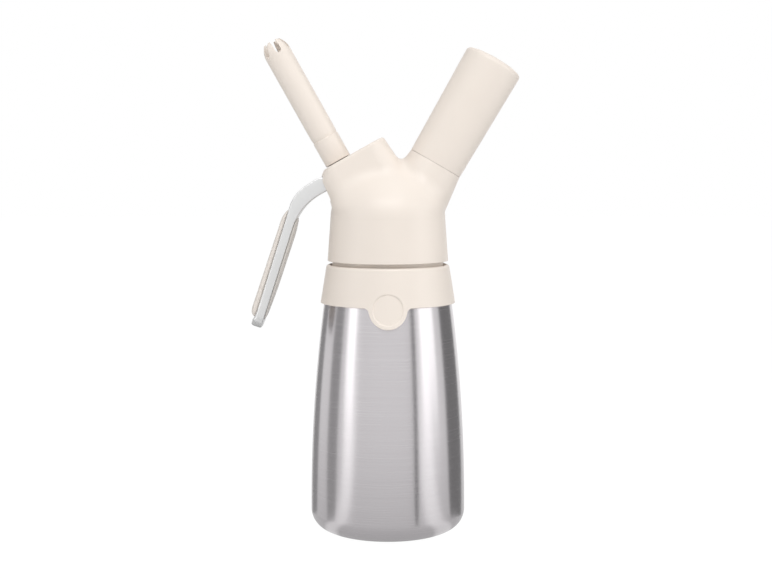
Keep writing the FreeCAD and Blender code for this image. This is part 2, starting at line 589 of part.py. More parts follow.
spring_radius = "(flange_radius - spring_inset)"
spring_rise = "(spring_length - spring_wire - running_gap * 2)"
spring_path = doc.addObject("Part::Helix", "spring_path")
spring_path.setExpression("Radius", on_sheet(spring_radius))
spring_path.setExpression("Height", on_sheet(spring_rise))
spring_path.setExpression("Pitch", on_sheet(spring_rise + " / spring_turns"))
spring_section = doc.addObject("Part::Circle", "spring_section")
spring_section.setExpression("Radius", on_sheet("spring_wire / 2"))
spring_section.Placement = FreeCAD.Placement(
    FreeCAD.Vector(), FreeCAD.Rotation(FreeCAD.Vector(1, 0, 0), 90))
spring_section.setExpression("Placement.Base.x", on_sheet(spring_radius))
spring = doc.addObject("Part::Sweep", "valve_spring_sweep")
spring.Label = "valve_spring"
spring.Sections = [spring_section]
spring.Spine = (spring_path, [])
spring.Solid = True
spring.Frenet = True
spring_lift = "(%s + spring_wire / 2 + running_gap)" % SPRING_FOOT
across, height, turn = FRAMES["tip"]
spring.Placement = FreeCAD.Placement(FreeCAD.Vector(), FreeCAD.Rotation(ALONG_Y, size(turn)))
spring.setExpression("Placement.Rotation.Angle", on_sheet(turn))
spring.setExpression("Placement.Base.x", on_sheet("%s + %s * sin(%s)" % (across, spring_lift, turn)))
spring.setExpression("Placement.Base.z", on_sheet("%s + %s * cos(%s)" % (height, spring_lift, turn)))
doc.recompute()

# Lever: a cast metal fork with a hub on the pin, a shank that leaves the head, a bend and a
# long blade whose foot turns out to end the outer grip. Two rounded pads press the sleeve.
lever = new_body("lever", "tip")
pad_height = "(%s + pad_round)" % SHANK_FOOT
relief = "(%s + fork_relief)" % SHANK_FOOT
pad_reach = "sqrt(pad_round^2 - (pad_round - fork_relief)^2)"
bend_tangent = "tan(lever_bend / 2)"
outer_start = "(-bend_reach + bend_outer * %s)" % bend_tangent
inner_vertex = "(-bend_reach + (blade_thick - shank_thick * cos(lever_bend)) / sin(lever_bend))"
inner_start = "(%s + bend_inner * %s)" % (inner_vertex, bend_tangent)
inner_end_x = "(%s - bend_inner * sin(lever_bend))" % inner_start
inner_end_z = "(%s - bend_inner * (1 - cos(lever_bend)))" % SHANK_FOOT
hub = "shank_thick / 2"
lever_side = outline(new_sketch(lever, "lever_side"), [
    ("pivot_reach + " + hub, PIVOT),
    ("pivot_reach", SHANK_TOP),
    (outer_start, SHANK_TOP),
    on_blade("bend_outer * %s" % bend_tangent, "0"),
    on_blade("blade_length - lip_thick - lip_ramp", "0"),
    on_blade("blade_length - lip_thick", "lip_rise"),
    on_blade("blade_length - lip_round", "lip_rise"),
    on_blade("blade_length", "lip_rise - lip_round"),
    on_blade("blade_length", "-blade_thick + lip_round"),
    on_blade("blade_length - lip_round", "-blade_thick"),
    (inner_end_x, inner_end_z),
    (inner_start, SHANK_FOOT),
    ("-fork_left - relief_run", SHANK_FOOT),
    ("-fork_left", relief),
    ("-" + pad_reach, relief),
    (pad_reach, relief),
    ("pivot_reach - %s - fork_relief" % hub, relief),
    ("pivot_reach", SHANK_FOOT),
], arcs={0: hub, 2: "bend_outer", 6: "lip_round", 8: "lip_round", 10: "-bend_inner",
         14: "pad_round", 17: hub})
across_y(lever, "lever_casting", lever_side, "lever_width")
fork_half = "(sleeve_radius + fork_room)"
fork = outline(new_sketch(lever, "fork_plan", plane="XY_Plane"), [
    ("-fork_left + " + fork_half, "-" + fork_half),
    ("fork_right", "-" + fork_half),
    ("fork_right", fork_half),
    ("-fork_left + " + fork_half, fork_half),
    ("-fork_left", "0"),
], arcs={3: fork_half, 4: fork_half})
fork_cut = lever.newObject("PartDesign::Pocket", "fork_slot")
fork_cut.Profile = fork
fork_cut.SideType = "Symmetric"
fork_cut.setExpression("Length", on_sheet("2 * cut_past - 2 * " + SHANK_FOOT))
doc.recompute()
lever_bore = circle_at(new_sketch(lever, "pin_hole"), "pivot_reach", PIVOT,
                       "pin_radius + running_gap")
across_y(lever, "lever_pin_hole", lever_bore, "lever_width + 2 * cut_past", cut=True)


def on_blade_plan(body, name):
    """A sketch on the blade's outer face: x along the blade from the bend, y across it."""
    sketch = new_sketch(body, name, plane="XY_Plane")
    turn = "(180 - lever_bend)"
    sketch.AttachmentOffset = FreeCAD.Placement(
        FreeCAD.Vector(), FreeCAD.Rotation(ALONG_Y, size(turn)))
    sketch.setExpression("AttachmentOffset.Rotation.Angle", on_sheet(turn))
    sketch.setExpression("AttachmentOffset.Base.x", on_sheet("-bend_reach"))
    sketch.setExpression("AttachmentOffset.Base.z", on_sheet(SHANK_TOP))
    return sketch


for side in ("", "-"):
    edge_y, past_y = side + "lever_width / 2", side + "(lever_width / 2 + cut_past)"
    foot_plan = outline(on_blade_plan(lever, "foot_corner_plan"), [
        ("blade_length - foot_corner", edge_y),
        ("blade_length", side + "(lever_width / 2 - foot_corner)"),
        ("blade_length + cut_past", side + "(lever_width / 2 - foot_corner)"),
        ("blade_length + cut_past", past_y),
        ("blade_length - foot_corner", past_y),
    ], arcs={0: ("" if side else "-") + "foot_corner"})
    across_y(lever, "foot_corner_cut", foot_plan, "4 * (blade_thick + lip_rise)", cut=True)


def along_sides(edge, half_width, reach):
    """A test for an edge that lies in a side face, at half_width from the middle, beyond reach."""
    ends = [vertex.Point for vertex in edge.Vertexes]
    return all(abs(abs(point.y) - half_width) < 0.01 and point.x < reach for point in ends)


rounded(lever, "blade_edges", lambda edge: along_sides(
    edge, size("lever_width / 2"), size(outer_start) + 0.01), "lever_edge")

# Grips: a moulded pad on the outside of the blade, under the palm, and one on the inside.
outer_grip = new_body("lever_outer_grip", "tip")
outer_grip_end = "(blade_length - lip_thick - lip_ramp - grip_end_gap)"
outer_side = outline(new_sketch(outer_grip, "outer_grip_side"), [
    on_blade("outer_grip_start", "0"),
    on_blade("outer_grip_start + outer_grip_lead", "outer_grip_shoulder"),
    on_blade("(outer_grip_start + %s) / 2" % outer_grip_end, "outer_grip_crown"),
    on_blade("%s - outer_grip_thick" % outer_grip_end, "outer_grip_thick"),
    on_blade(outer_grip_end, "0"),
], arcs={0: "outer_grip_ramp", 1: "outer_grip_sweep", 3: "outer_grip_thick"})
grip_width = "(lever_width - 2 * grip_inset)"
across_y(outer_grip, "outer_grip_pad", outer_side, grip_width)


def height_on_blade(edge):
    """How far the middle of an edge lies out from the blade's outer face."""
    bend = math.radians(size("lever_bend"))
    blade_out = FreeCAD.Vector(-math.sin(bend), 0, math.cos(bend))
    face = FreeCAD.Vector(size("-bend_reach"), 0, size(SHANK_TOP))
    middle = edge.valueAt((edge.FirstParameter + edge.LastParameter) / 2)
    return (middle - face).dot(blade_out)


rounded(outer_grip, "outer_grip_edges",
        lambda edge: height_on_blade(edge) > size("grip_edge / 2"), "grip_edge")

inner_grip = new_body("lever_inner_grip", "tip")
inner_grip_foot = "(blade_length - lip_round)"
lead_turn = "(lever_bend - inner_grip_lead)"
inner_side = outline(new_sketch(inner_grip, "inner_grip_side"), [
    ("%s - bend_inner * sin(%s)" % (inner_start, lead_turn),
     "%s - bend_inner * (1 - cos(%s))" % (SHANK_FOOT, lead_turn)),
    (inner_end_x, inner_end_z),
    on_blade(inner_grip_foot, "-blade_thick"),
    on_blade(inner_grip_foot, "-blade_thick - inner_grip_end"),
    on_blade("inner_grip_start + inner_grip_crest", "-blade_thick - inner_grip_thick"),
    on_blade("inner_grip_start", "-blade_thick - inner_grip_shoulder"),
], arcs={0: "bend_inner", 3: "inner_grip_sweep", 5: "inner_grip_ramp"})
across_y(inner_grip, "inner_grip_pad", inner_side, grip_width)


def is_inner_grip_side(edge):
    """A long edge of the inner grip that lies off the blade and the bend."""
    return (height_on_blade(edge) < size("-blade_thick - grip_edge")
            and edge.BoundBox.YLength < size("grip_edge"))


rounded(inner_grip, "inner_grip_edges", is_inner_grip_side, "grip_edge")

pin = new_body("lever_pin", "tip")
pin_section = circle_at(new_sketch(pin, "pin_circle"), "pivot_reach", PIVOT, "pin_radius")
across_y(pin, "pin_rod", pin_section, "pin_length")

# Decorator tip: a gasket on the sleeve, an adapter screwed on the stem and a tulip tube whose
# end is cut into inward-bent teeth.
tip_gasket = new_body("tip_gasket", "tip")
turned(tip_gasket, "tip_gasket_ring", tube_section(
    "stem_radius + running_gap", "tip_gasket_radius", "-sleeve_top", ADAPTER_FOOT))

adapter_radius = "(tulip_radius - seam_step)"
socket_radius = "(tulip_radius - tulip_wall)"
adapter = new_body("tip_adapter", "tip")
turned(adapter, "adapter_ring", [
    ("stem_radius + running_gap", ADAPTER_FOOT),
    (adapter_radius + " - seam_bevel", ADAPTER_FOOT),
    (adapter_radius, "%s + seam_bevel" % ADAPTER_FOOT),
    (adapter_radius, "%s - seam_bevel" % ADAPTER_TOP),
    (adapter_radius + " - seam_bevel", ADAPTER_TOP),
    (socket_radius, ADAPTER_TOP),
    (socket_radius, "%s + adapter_neck" % ADAPTER_TOP),
    ("adapter_passage + mouth_flare", "%s + adapter_neck" % ADAPTER_TOP),
    ("adapter_passage", "%s + adapter_neck - mouth_depth" % ADAPTER_TOP),
    ("adapter_passage", "%s + running_gap" % STEM_TOP),
    ("stem_radius + running_gap", "%s + running_gap" % STEM_TOP),
])

tulip = new_body("tulip_tip", "tip")
teeth_foot = "(%s - teeth_length)" % TULIP_TOP
turned(tulip, "tulip_tube", [
    (socket_radius, ADAPTER_TOP),
    ("tulip_radius - seam_bevel", ADAPTER_TOP),
    ("tulip_radius", "%s + seam_bevel" % ADAPTER_TOP),
    ("tulip_radius", teeth_foot),
    ("tulip_radius - teeth_inset", TULIP_TOP),
    ("tulip_radius - teeth_inset - teeth_wall", TULIP_TOP),
    (socket_radius, teeth_foot),
], arcs={3: "teeth_bend", 5: "-teeth_bend"})
notch_round = "(notch_width / 2)"
notch_foot = "(%s + %s)" % (teeth_foot, notch_round)
notch = outline(new_sketch(tulip, "notch_side"), [
    ("-" + notch_round, notch_foot),
    ("0", teeth_foot),
    (notch_round, notch_foot),
    (notch_round, "%s + cut_past" % TULIP_TOP),
    ("-" + notch_round, "%s + cut_past" % TULIP_TOP),
], arcs={0: notch_round, 1: notch_round})
notch_cut = tulip.newObject("PartDesign::Pocket", "notch")
notch_cut.Profile = notch
notch_cut.Reversed = True
notch_cut.setExpression("Length", on_sheet("tulip_radius * 2"))
doc.recompute()
notches = tulip.newObject("PartDesign::PolarPattern", "notches")
notches.Originals = [notch_cut]
notches.Axis = (notch, ["V_Axis"])
notches.Angle = 360
notches.setExpression("Occurrences", on_sheet("teeth_count"))
tulip.Tip = notches
doc.recompute()

# Charger side: a threaded metal boss in the arm, the seal and piercing needle in its floor, a
# one-way valve below it, the steel cartridge, and the holder with its threaded insert.
boss = new_body("charger_boss", "charger")
collar_radius = "(charger_neck + charger_room)"
turned(boss, "threaded_boss", [
    ("needle_base", BOSS_FOOT),
    (BOSS_RADIUS, BOSS_FOOT),
    (BOSS_RADIUS, "0"),
    (BOSS_THREAD_RADIUS, "0"),
    (BOSS_THREAD_RADIUS, "boss_thread - charger_room"),
    (BOSS_THREAD_RADIUS + " - charger_room", "boss_thread"),
    (CUP_RADIUS, "boss_thread"),
    (CUP_RADIUS, "%s - charger_room" % SHOULDER_TOP),
    (collar_radius, "%s - charger_room" % SHOULDER_FOOT),
    (collar_radius, BOSS_SEAT),
    ("needle_base", BOSS_SEAT),
])

needle = new_body("piercing_pin", "charger")
turned(needle, "hollow_needle", [
    ("needle_bore", BOSS_FOOT),
    ("needle_base", BOSS_FOOT),
    ("needle_base", BOSS_SEAT),
    ("needle_radius", BOSS_SEAT),
    ("needle_radius", NECK_TIP),
    ("needle_bore + needle_edge", "%s + needle_reach" % NECK_TIP),
    ("needle_bore", "%s + needle_reach" % NECK_TIP),
])

charger_seal = new_body("charger_seal", "charger")
turned(charger_seal, "charger_seal_ring", tube_section(
    "needle_radius + running_gap * 2", collar_radius, BOSS_SEAT, "%s + seal_height" % BOSS_SEAT))

inlet_body = new_body("inlet_valve_body", "charger")
turned(inlet_body, "inlet_plug", [
    ("inlet_bore", INLET_FOOT),
    ("inlet_radius", INLET_FOOT),
    ("inlet_radius", BOSS_FOOT),
    ("inlet_bore * 2", BOSS_FOOT),
    ("inlet_bore", "%s - inlet_bore" % BOSS_FOOT),
])

flap = new_body("inlet_valve_flap", "charger")
turned(flap, "rubber_flap", [
    ("0", FLAP_FOOT), ("flap_radius", FLAP_FOOT), ("flap_radius", INLET_FOOT), ("0", INLET_FOOT)])

charger = new_body("charger", "charger")
charger_inner = "(charger_radius - charger_wall)"
neck_inner = "(charger_neck - charger_wall)"
turned(charger, "pressed_cartridge", [
    ("pierced_hole", NECK_TIP),
    ("charger_neck - neck_bevel", NECK_TIP),
    ("charger_neck", "%s + neck_bevel" % NECK_TIP),
    ("charger_neck", SHOULDER_FOOT),
    ("charger_radius", SHOULDER_TOP),
    ("charger_radius", CHARGER_END),
    ("0", CHARGER_TOP),
    ("0", "%s - charger_wall" % CHARGER_TOP),
    (charger_inner, CHARGER_END),
    (charger_inner, "%s + charger_wall / 2" % SHOULDER_TOP),
    (neck_inner, "%s + charger_wall / 2" % SHOULDER_FOOT),
    (neck_inner, "%s + neck_floor" % NECK_TIP),
    ("pierced_hole", "%s + neck_floor" % NECK_TIP),
], arcs={5: "charger_radius", 7: "-" + charger_inner})

holder = new_body("charger_holder", "charger")
holder_radius = "(%s + holder_flare)" % ARM_RADIUS
holder_shoulder = "(%s - holder_crown)" % HOLDER_TOP
crown_radius = "((%s^2 + holder_crown^2) / (2 * holder_crown))" % holder_radius
insert_foot = "(seam_gap * 2)"
insert_top = "(%s + insert_length)" % insert_foot
turned(holder, "holder_cap", [
    (INSERT_RADIUS, "seam_gap"),
    (ARM_RADIUS + " - seam_gap", "seam_gap"),
    (ARM_RADIUS, "seam_gap * 2"),
    (holder_radius, holder_shoulder),
    ("0", HOLDER_TOP),
    ("0", BORE_TOP),
    (CUP_RADIUS, BORE_END),
    (CUP_RADIUS, insert_top),
    (INSERT_RADIUS, insert_top),
], arcs={3: crown_radius, 5: "-" + CUP_RADIUS})
rounded(holder, "holder_end_round", ring_at(holder_shoulder, holder_radius), "holder_round")

insert = new_body("holder_thread_insert", "charger")
turned(insert, "insert_ring", tube_section(INSERT_BORE, INSERT_RADIUS, insert_foot, insert_top))

PIECES = (bottle, neck_collar, head_gasket, head, stem, sleeve, valve_seal, bush, o_ring, spring,
          lever, outer_grip, inner_grip, pin, tip_gasket, adapter, tulip, boss, needle,
          charger_seal, inlet_body, flap, charger, holder, insert)

for item in doc.Objects:
    if "Invalid" in item.State or "Error" in item.State:
        raise RuntimeError("%s did not build: %s" % (item.Label, item.State))
for piece in PIECES:
    if piece.Shape.isNull() or not piece.Shape.isValid() or len(piece.Shape.Solids) != 1:
        raise RuntimeError("%s is not one valid solid" % piece.Label)

os.makedirs("parts", exist_ok=True)
for piece in PIECES:
    piece.Shape.exportStep("parts/%s.step" % piece.Label)
    print("%-22s %10.1f mm3" % (piece.Label, piece.Shape.Volume))
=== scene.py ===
import math

import bmesh
import bpy
import numpy as np
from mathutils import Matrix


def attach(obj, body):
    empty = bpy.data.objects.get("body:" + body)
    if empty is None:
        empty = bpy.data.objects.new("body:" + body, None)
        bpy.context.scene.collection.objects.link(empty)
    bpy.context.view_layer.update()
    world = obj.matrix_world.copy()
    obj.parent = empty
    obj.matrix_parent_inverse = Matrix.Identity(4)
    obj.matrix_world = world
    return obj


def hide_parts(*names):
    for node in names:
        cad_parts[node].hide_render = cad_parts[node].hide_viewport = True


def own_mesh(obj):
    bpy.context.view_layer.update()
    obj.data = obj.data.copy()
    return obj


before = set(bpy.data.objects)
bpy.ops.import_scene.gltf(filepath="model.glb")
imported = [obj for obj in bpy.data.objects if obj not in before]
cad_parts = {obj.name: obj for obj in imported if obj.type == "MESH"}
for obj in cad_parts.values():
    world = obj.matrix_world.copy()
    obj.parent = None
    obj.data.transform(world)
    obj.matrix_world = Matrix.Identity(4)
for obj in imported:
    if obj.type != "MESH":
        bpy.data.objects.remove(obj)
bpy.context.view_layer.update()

# Whipped cream dispenser: a brushed steel bottle under a cream plastic head with a lever, a
# decorator tip and a gas charger holder. Sizes are in millimetres, and a mesh is made in metres.


# Camera: level with the head and about 640 mm in front, looking down a little.
def link(thing):
    """Puts an object into the scene."""
    bpy.context.scene.collection.objects.link(thing)
    return thing


LOOKING_DOWN = 5.28
camera = link(bpy.data.objects.new("camera", bpy.data.cameras.new("camera")))
camera.data.lens = 61.93
camera.location = (-0.0009, -0.640, 0.1756)
camera.rotation_euler = (math.radians(90 - LOOKING_DOWN), 0, 0)
bpy.context.scene.camera = camera
bpy.context.scene.view_settings.view_transform = "Standard"


# Studio: a white sweep under a soft lamp in front and a box above, with a soft box and a fill
# lamp at each side. The fill lamps light the plastic and stay out of the metal. Grey cards,
# which show in reflections only, put the dark bands into the steel.
class Value:
    """One output of a material's nodes; an expression on it adds the Math node that it needs."""

    def __init__(self, nodes, socket):
        self.nodes, self.socket = nodes, socket

    def math(self, operation, *terms):
        """The result of a Math node on these terms."""
        return self.nodes.node("ShaderNodeMath", {"operation": operation}, dict(enumerate(terms)))

    def __add__(self, other):
        return self.math("ADD", self, other)

    def __mul__(self, other):
        return self.math("MULTIPLY", self, other)

    def __radd__(self, other):
        return self.math("ADD", other, self)

    def __rmul__(self, other):
        return self.math("MULTIPLY", other, self)


class Nodes:
    """A set of nodes in the making, whose inputs are plain values or other nodes' values."""

    def __init__(self, tree):
        self.tree = tree

    def join(self, value, socket):
        """Links a node's value to a socket, or sets the socket to a plain value."""
        if isinstance(value, Value):
            self.tree.links.new(value.socket, socket)
        else:
            socket.default_value = value

    def node(self, kind, settings=None, values=None, output=0):
        """Any node: its settings first, then the values or links of its sockets."""
        added = self.tree.nodes.new(kind)
        for name, value in (settings or {}).items():
            setattr(added, name, value)
        for socket, value in (values or {}).items():
            self.join(value, added.inputs[socket])
        return Value(self, added.outputs[output])

    def ray(self, *kinds):
        """1 for a ray of any of these kinds, and 0 for the others."""
        found, *others = [self.node("ShaderNodeLightPath", output="Is %s Ray" % kind) for kind in kinds]
        for other in others:
            found = found.math("MAXIMUM", found, other)
        return found

    def ramp(self, value, low, high, top=1.0):
        """A value stretched to run from 0 at the low end to the top at the high end."""
        return self.node("ShaderNodeMapRange", None, {
            "Value": value, "From Min": low, "From Max": high, "To Min": 0.0, "To Max": top})

    def glowing(self, level):
        """White light of a given strength, whatever falls on the surface."""
        return self.node("ShaderNodeEmission", None, {"Color": (1, 1, 1, 1), "Strength": level})

    def mixed(self, share, one, other):
        """The first shader at a share of 0, and the other at 1."""
        return self.node("ShaderNodeMixShader", None, {0: share, 1: one, 2: other})


class Finish(Nodes):
    """A material in the making, with its shader's constant sockets set from the start."""

    def __init__(self, name, **constants):
        self.material = bpy.data.materials.new(name)
        self.material.use_nodes = True
        super().__init__(self.material.node_tree)
        self.shader = self.tree.nodes["Principled BSDF"]
        for socket, value in constants.items():
            self.shader.inputs[socket.replace("_", " ")].default_value = value

    def shade(self, **sockets):
        """Joins what varies over the surface to the shader."""
        for socket, value in sockets.items():
            self.join(value, self.shader.inputs[socket.replace("_", " ")])
        return self.material

    def grain(self, stretch, detail, roughness=0.5, lean=0.0):
        """Noise from 0 to 1 on Object coordinates, with so many cells a metre along each axis,
        leant about Y by so many degrees."""
        place = self.node("ShaderNodeTexCoord", output="Object")
        if lean:
            place = self.node("ShaderNodeMapping", {"vector_type": "TEXTURE"},
                              {"Vector": place, "Rotation": (0, math.radians(lean), 0)})
        place = self.node("ShaderNodeMapping", None, {"Vector": place, "Scale": stretch})
        return self.node("ShaderNodeTexNoise", {"noise_dimensions": "3D"}, {
            "Vector": place, "Scale": 1.0, "Detail": detail, "Roughness": roughness})

    def tint(self, share, low, high):
        """A colour between two, by a share from 0 to 1."""
        return self.node("ShaderNodeMix", {"data_type": "RGBA"},
                         {"Factor": share, 6: (*low, 1), 7: (*high, 1)}, output=2)

    def bump(self, height, strength, distance):
        """A share from 0 to 1 as a relief so many metres high."""
        return self.node("ShaderNodeBump", None, {
            "Height": height, "Strength": strength, "Distance": distance})


SKY_LEVEL = 0.385
world = bpy.data.worlds.new("studio")
bpy.context.scene.world = world
world.use_nodes = True
sky = Nodes(world.node_tree)
background = sky.tree.nodes["Background"]
in_view = sky.ray("Camera", "Glossy", "Transmission")
sky.join((1, 1, 1, 1), background.inputs["Color"])
sky.join(SKY_LEVEL + in_view * (1 - SKY_LEVEL), background.inputs["Strength"])

# The steel mirrors the sweep with painted light: a painted shadow darkens it close to the bottle,
# and painted reflections of the side boxes brighten it along the bearings where a glossy sheet
# would mirror them. The eye sees plain paper.
NEAR, FAR, PAINTED_SHADOW_LEVEL, FADE = 0.03, 0.65, 0.53, 0.34
BOX_MIRRORS, MIRROR_EDGE, PAINTED_BOX_GLOW = ((-34, 11), (213, 8)), 4, 0.5
PAPER_LEVEL, PAPER_SHARE = 1.08, 0.9
floor = Finish("white_sweep", Roughness=0.9, Specular_IOR_Level=0.0, Base_Color=(0.92, 0.92, 0.92, 1))
place = floor.node("ShaderNodeTexCoord", output="Object")
away = floor.node("ShaderNodeVectorMath", {"operation": "LENGTH"}, {0: place}, output="Value")
outward = floor.node("ShaderNodeVectorMath", {"operation": "NORMALIZE"}, {0: place})
# Painted shadow: the sweep as the metal mirrors it grows darker towards the bottle.
level = floor.ramp(away, NEAR, FAR)
level = PAINTED_SHADOW_LEVEL + (1 - PAINTED_SHADOW_LEVEL) * level.math("POWER", level, FADE)
# Painted reflections of the side boxes: strips of the sweep along these bearings glow brighter in the metal.
glow = 0.0
for bearing, half_width in BOX_MIRRORS:
    toward = (math.cos(math.radians(bearing)), math.sin(math.radians(bearing)), 0)
    ahead = floor.node("ShaderNodeVectorMath", {"operation": "DOT_PRODUCT"}, {0: outward, 1: toward},
                       output="Value")
    glow = glow + floor.ramp(ahead, math.cos(math.radians(half_width + MIRROR_EDGE)),
                             math.cos(math.radians(half_width - MIRROR_EDGE)), PAINTED_BOX_GLOW)
brightest = 1 + PAINTED_BOX_GLOW
mirror_view = floor.mixed(level * (1 + glow) * (1 / brightest), floor.glowing(0.0), floor.glowing(brightest))
lit = Value(floor, floor.shader.outputs[0])
backed = floor.mixed(floor.ray("Glossy", "Transmission"), lit, mirror_view)
floor.join(floor.mixed(floor.ray("Camera") * PAPER_SHARE, backed, floor.glowing(PAPER_LEVEL)),
           floor.tree.nodes["Material Output"].inputs["Surface"])

sweep = bpy.data.meshes.new("white_sweep")
sweep.from_pydata([(-4, -4, 0), (4, -4, 0), (4, 4, 0), (-4, 4, 0)], [], [(0, 1, 2, 3)])
sweep.materials.append(floor.material)
link(bpy.data.objects.new("white_sweep", sweep))


LAMP_AIM = (0, 0, 0.15)


def lamp(name, place, width, height, watts, mirrored=True):
    """A soft box: an area lamp that faces the object, and shows in the metal if it is mirrored."""
    light = bpy.data.lights.new(name, "AREA")
    light.shape, light.size, light.size_y, light.energy = "RECTANGLE", width, height, watts
    box = link(bpy.data.objects.new(name, light))
    box.location = place
    toward = [b - a for a, b in zip(place, LAMP_AIM)]
    flat = math.hypot(toward[0], toward[1])
    box.rotation_euler = (math.atan2(flat, -toward[2]), 0, math.atan2(-toward[0], toward[1]))
    box.visible_glossy = mirrored


lamp("overhead", (0.03, -0.80, 1.00), 1.15, 0.40, 5.9)
lamp("top_box", (0.05, -0.05, 1.25), 0.9, 0.9, 1.6)
lamp("right_box", (0.93, -0.36, 0.45), 0.55, 1.1, 1.9)
lamp("left_box", (-0.83, -0.43, 0.45), 0.30, 1.1, 1.1)
lamp("right_fill", (0.95, -0.40, 0.45), 0.7, 0.7, 1.2, mirrored=False)
lamp("left_fill", (-0.85, -0.45, 0.40), 0.7, 0.7, 0.55, mirrored=False)


def quads(rows, columns, first=0):
    """The four corners of each face between neighbours in a grid of points."""
    number = first + np.arange(rows * columns).reshape(rows, columns)
    return np.stack([number[:-1, :-1], number[:-1, 1:], number[1:, 1:], number[1:, :-1]], -1).reshape(-1, 4)


CARD_START, CARD_LIFT, CARD_TOP = 0.037, 0.001, 1.1


def card(name, bearing, spread, grey):
    """A grey card that runs out over the floor from the bottle's side and then stands up: a fan
    of the spread about the bearing, from where the bottle mirrors that bearing to the eye. It
    shows in reflections only."""
    turn = math.radians(bearing)
    fan = np.radians(np.linspace(bearing - spread / 2, bearing + spread / 2, 9))
    away = np.array([0.03, 0.1, 0.3, 0.9, 0.9])[:, None]
    lift = np.array([CARD_LIFT, CARD_LIFT, CARD_LIFT, CARD_LIFT, CARD_TOP])[:, None] + 0 * fan
    start = CARD_START * np.array([math.sin(turn / 2), -math.cos(turn / 2)])
    points = np.stack([start[0] + away * np.sin(fan), start[1] - away * np.cos(fan), lift], -1)
    mesh = bpy.data.meshes.new(name)
    mesh.from_pydata(points.reshape(-1, 3), [], quads(*lift.shape).tolist())
    mesh.materials.append(Finish(name, Roughness=1.0, Specular_IOR_Level=0.0, Base_Color=(0, 0, 0, 1),
                                 Emission_Color=(grey, grey, grey, 1), Emission_Strength=1.0).material)
    stood = link(bpy.data.objects.new(name, mesh))
    stood.visible_camera = stood.visible_diffuse = stood.visible_shadow = False


card("left_edge_flag", -143, 26, 0.35)
card("left_flag", -93, 22, 0.42)
card("line_flag", 43, 6.5, 0.15)
card("right_flag", 123, 44, 0.25)


# Bottle: one cup drawn from stainless steel, spun in to a shoulder and neck, with a rolled rim,
# a rolled thread for the head, and a fine level brushing all round its wall.
MM = 0.001


def smooth(mesh):
    """Soft shading, with every edge of more than 35 degrees left sharp."""
    mesh.shade_smooth()
    mesh.set_sharp_from_angle(angle=math.radians(35))


def piece(name, *grids):
    """One closed mesh from grids of points: neighbours in each grid are joined by quads, points
    in the same place become one, and faces are turned outwards."""
    points, faces, first = [], [], 0
    for grid in grids:
        faces.append(quads(*grid.shape[:2], first))
        points.append(grid.reshape(-1, 3))
        first += len(points[-1])
    mesh = bpy.data.meshes.new(name)
    mesh.from_pydata(np.concatenate(points) * MM, [], np.concatenate(faces).tolist())
    work = bmesh.new()
    work.from_mesh(mesh)
    bmesh.ops.remove_doubles(work, verts=work.verts, dist=2e-6)
    bmesh.ops.recalc_face_normals(work, faces=work.faces)
    work.to_mesh(mesh)
    work.free()
    smooth(mesh)
    return link(bpy.data.objects.new(name, mesh))


def rounded_path(corners, step=8.0):
    """A line through corners (radius, height, round): each round is the arc that touches both
    of its sides, with its centre on the line that halves the corner."""
    corners = np.array(corners, float)
    path = [corners[:1, :2]]
    for before, corner, after in zip(corners, corners[1:], corners[2:]):
        back, on = before[:2] - corner[:2], after[:2] - corner[:2]
        back, on = back / np.hypot(*back), on / np.hypot(*on)
        half = math.acos(np.clip(back @ on, -1, 1)) / 2
        if corner[2] == 0 or half > 1.57:
            path.append(corner[None, :2])
            continue
        middle = (back + on) / np.hypot(*(back + on))
        centre = corner[:2] + middle * corner[2] / math.sin(half)
        swing = math.pi / 2 - half
        turn = np.linspace(-swing, swing, 2 + int(math.degrees(2 * swing) / step))[:, None]
        side = back - middle * (back @ middle)
        side = side / np.hypot(*side)
        path.append(centre - corner[2] * (middle * np.cos(turn) + side * np.sin(turn)))
    path.append(corners[-1:, :2])
    return np.concatenate(path)


def finer(path, spacing):
    """The same line with more points, no further apart than the spacing."""
    along = np.concatenate([[0], np.cumsum(np.hypot(*np.diff(path, axis=0).T))])
    places = np.unique(np.concatenate([along, np.arange(0, along[-1], spacing)]))
    return np.stack([np.interp(places, along, path[:, 0]), np.interp(places, along, path[:, 1])], -1)


def full_turn(count):
    """Angles once round, in so many steps."""
    return np.linspace(0, 2 * math.pi, count + 1)


def lathe(path, turns, relief=None):
    """A line of (radius, height) turned about Z: x = r cos a and y = r sin a, with r raised by
    the relief at each angle, height and radius."""
    radius, height = path[:, :1], path[:, 1:]
    radius = radius + (relief(turns[None, :], height, radius) if relief else 0)
    height = height + 0 * turns[None, :]
    return np.stack([radius * np.cos(turns), radius * np.sin(turns), height], -1)


def thread(pitch, depth, low, high, offset=0.0):
    """A screw's relief: a ridge that climbs one pitch a turn, and fades out at both ends."""

    def relief(turn, height):
        phase = np.abs((height / pitch - turn / (2 * math.pi) + offset) % 1 - 0.5)
        ridge = np.clip((0.32 - phase) / 0.14, 0, 1)
        ends = np.clip((height - low) / pitch, 0, 1) * np.clip((high - height) / pitch, 0, 1)
        return depth * ridge * ends

    return relief


def fit(thing, body, node, finish):
    """The piece takes its CAD node's place, rides with its body and gets its finish."""
    thing.data.materials.clear()
    thing.data.materials.append(finish)
    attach(thing, body)
    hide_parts(node)
    return thing


BOTTLE_RADIUS, BELLY, WALL_TOP, SHOULDER, RIM = 37.39, 12.0, 118.0, 121.0, 140.0
FOOT_RING, NECK, SHEET = 28.0, 25.4, 0.9
SWEEP = 746.93


def wall_radius(height):
    """The bottle's long wall: an arc, upright at the belly."""
    return BOTTLE_RADIUS - SWEEP + np.sqrt(SWEEP ** 2 - np.maximum(height - BELLY, 0) ** 2)


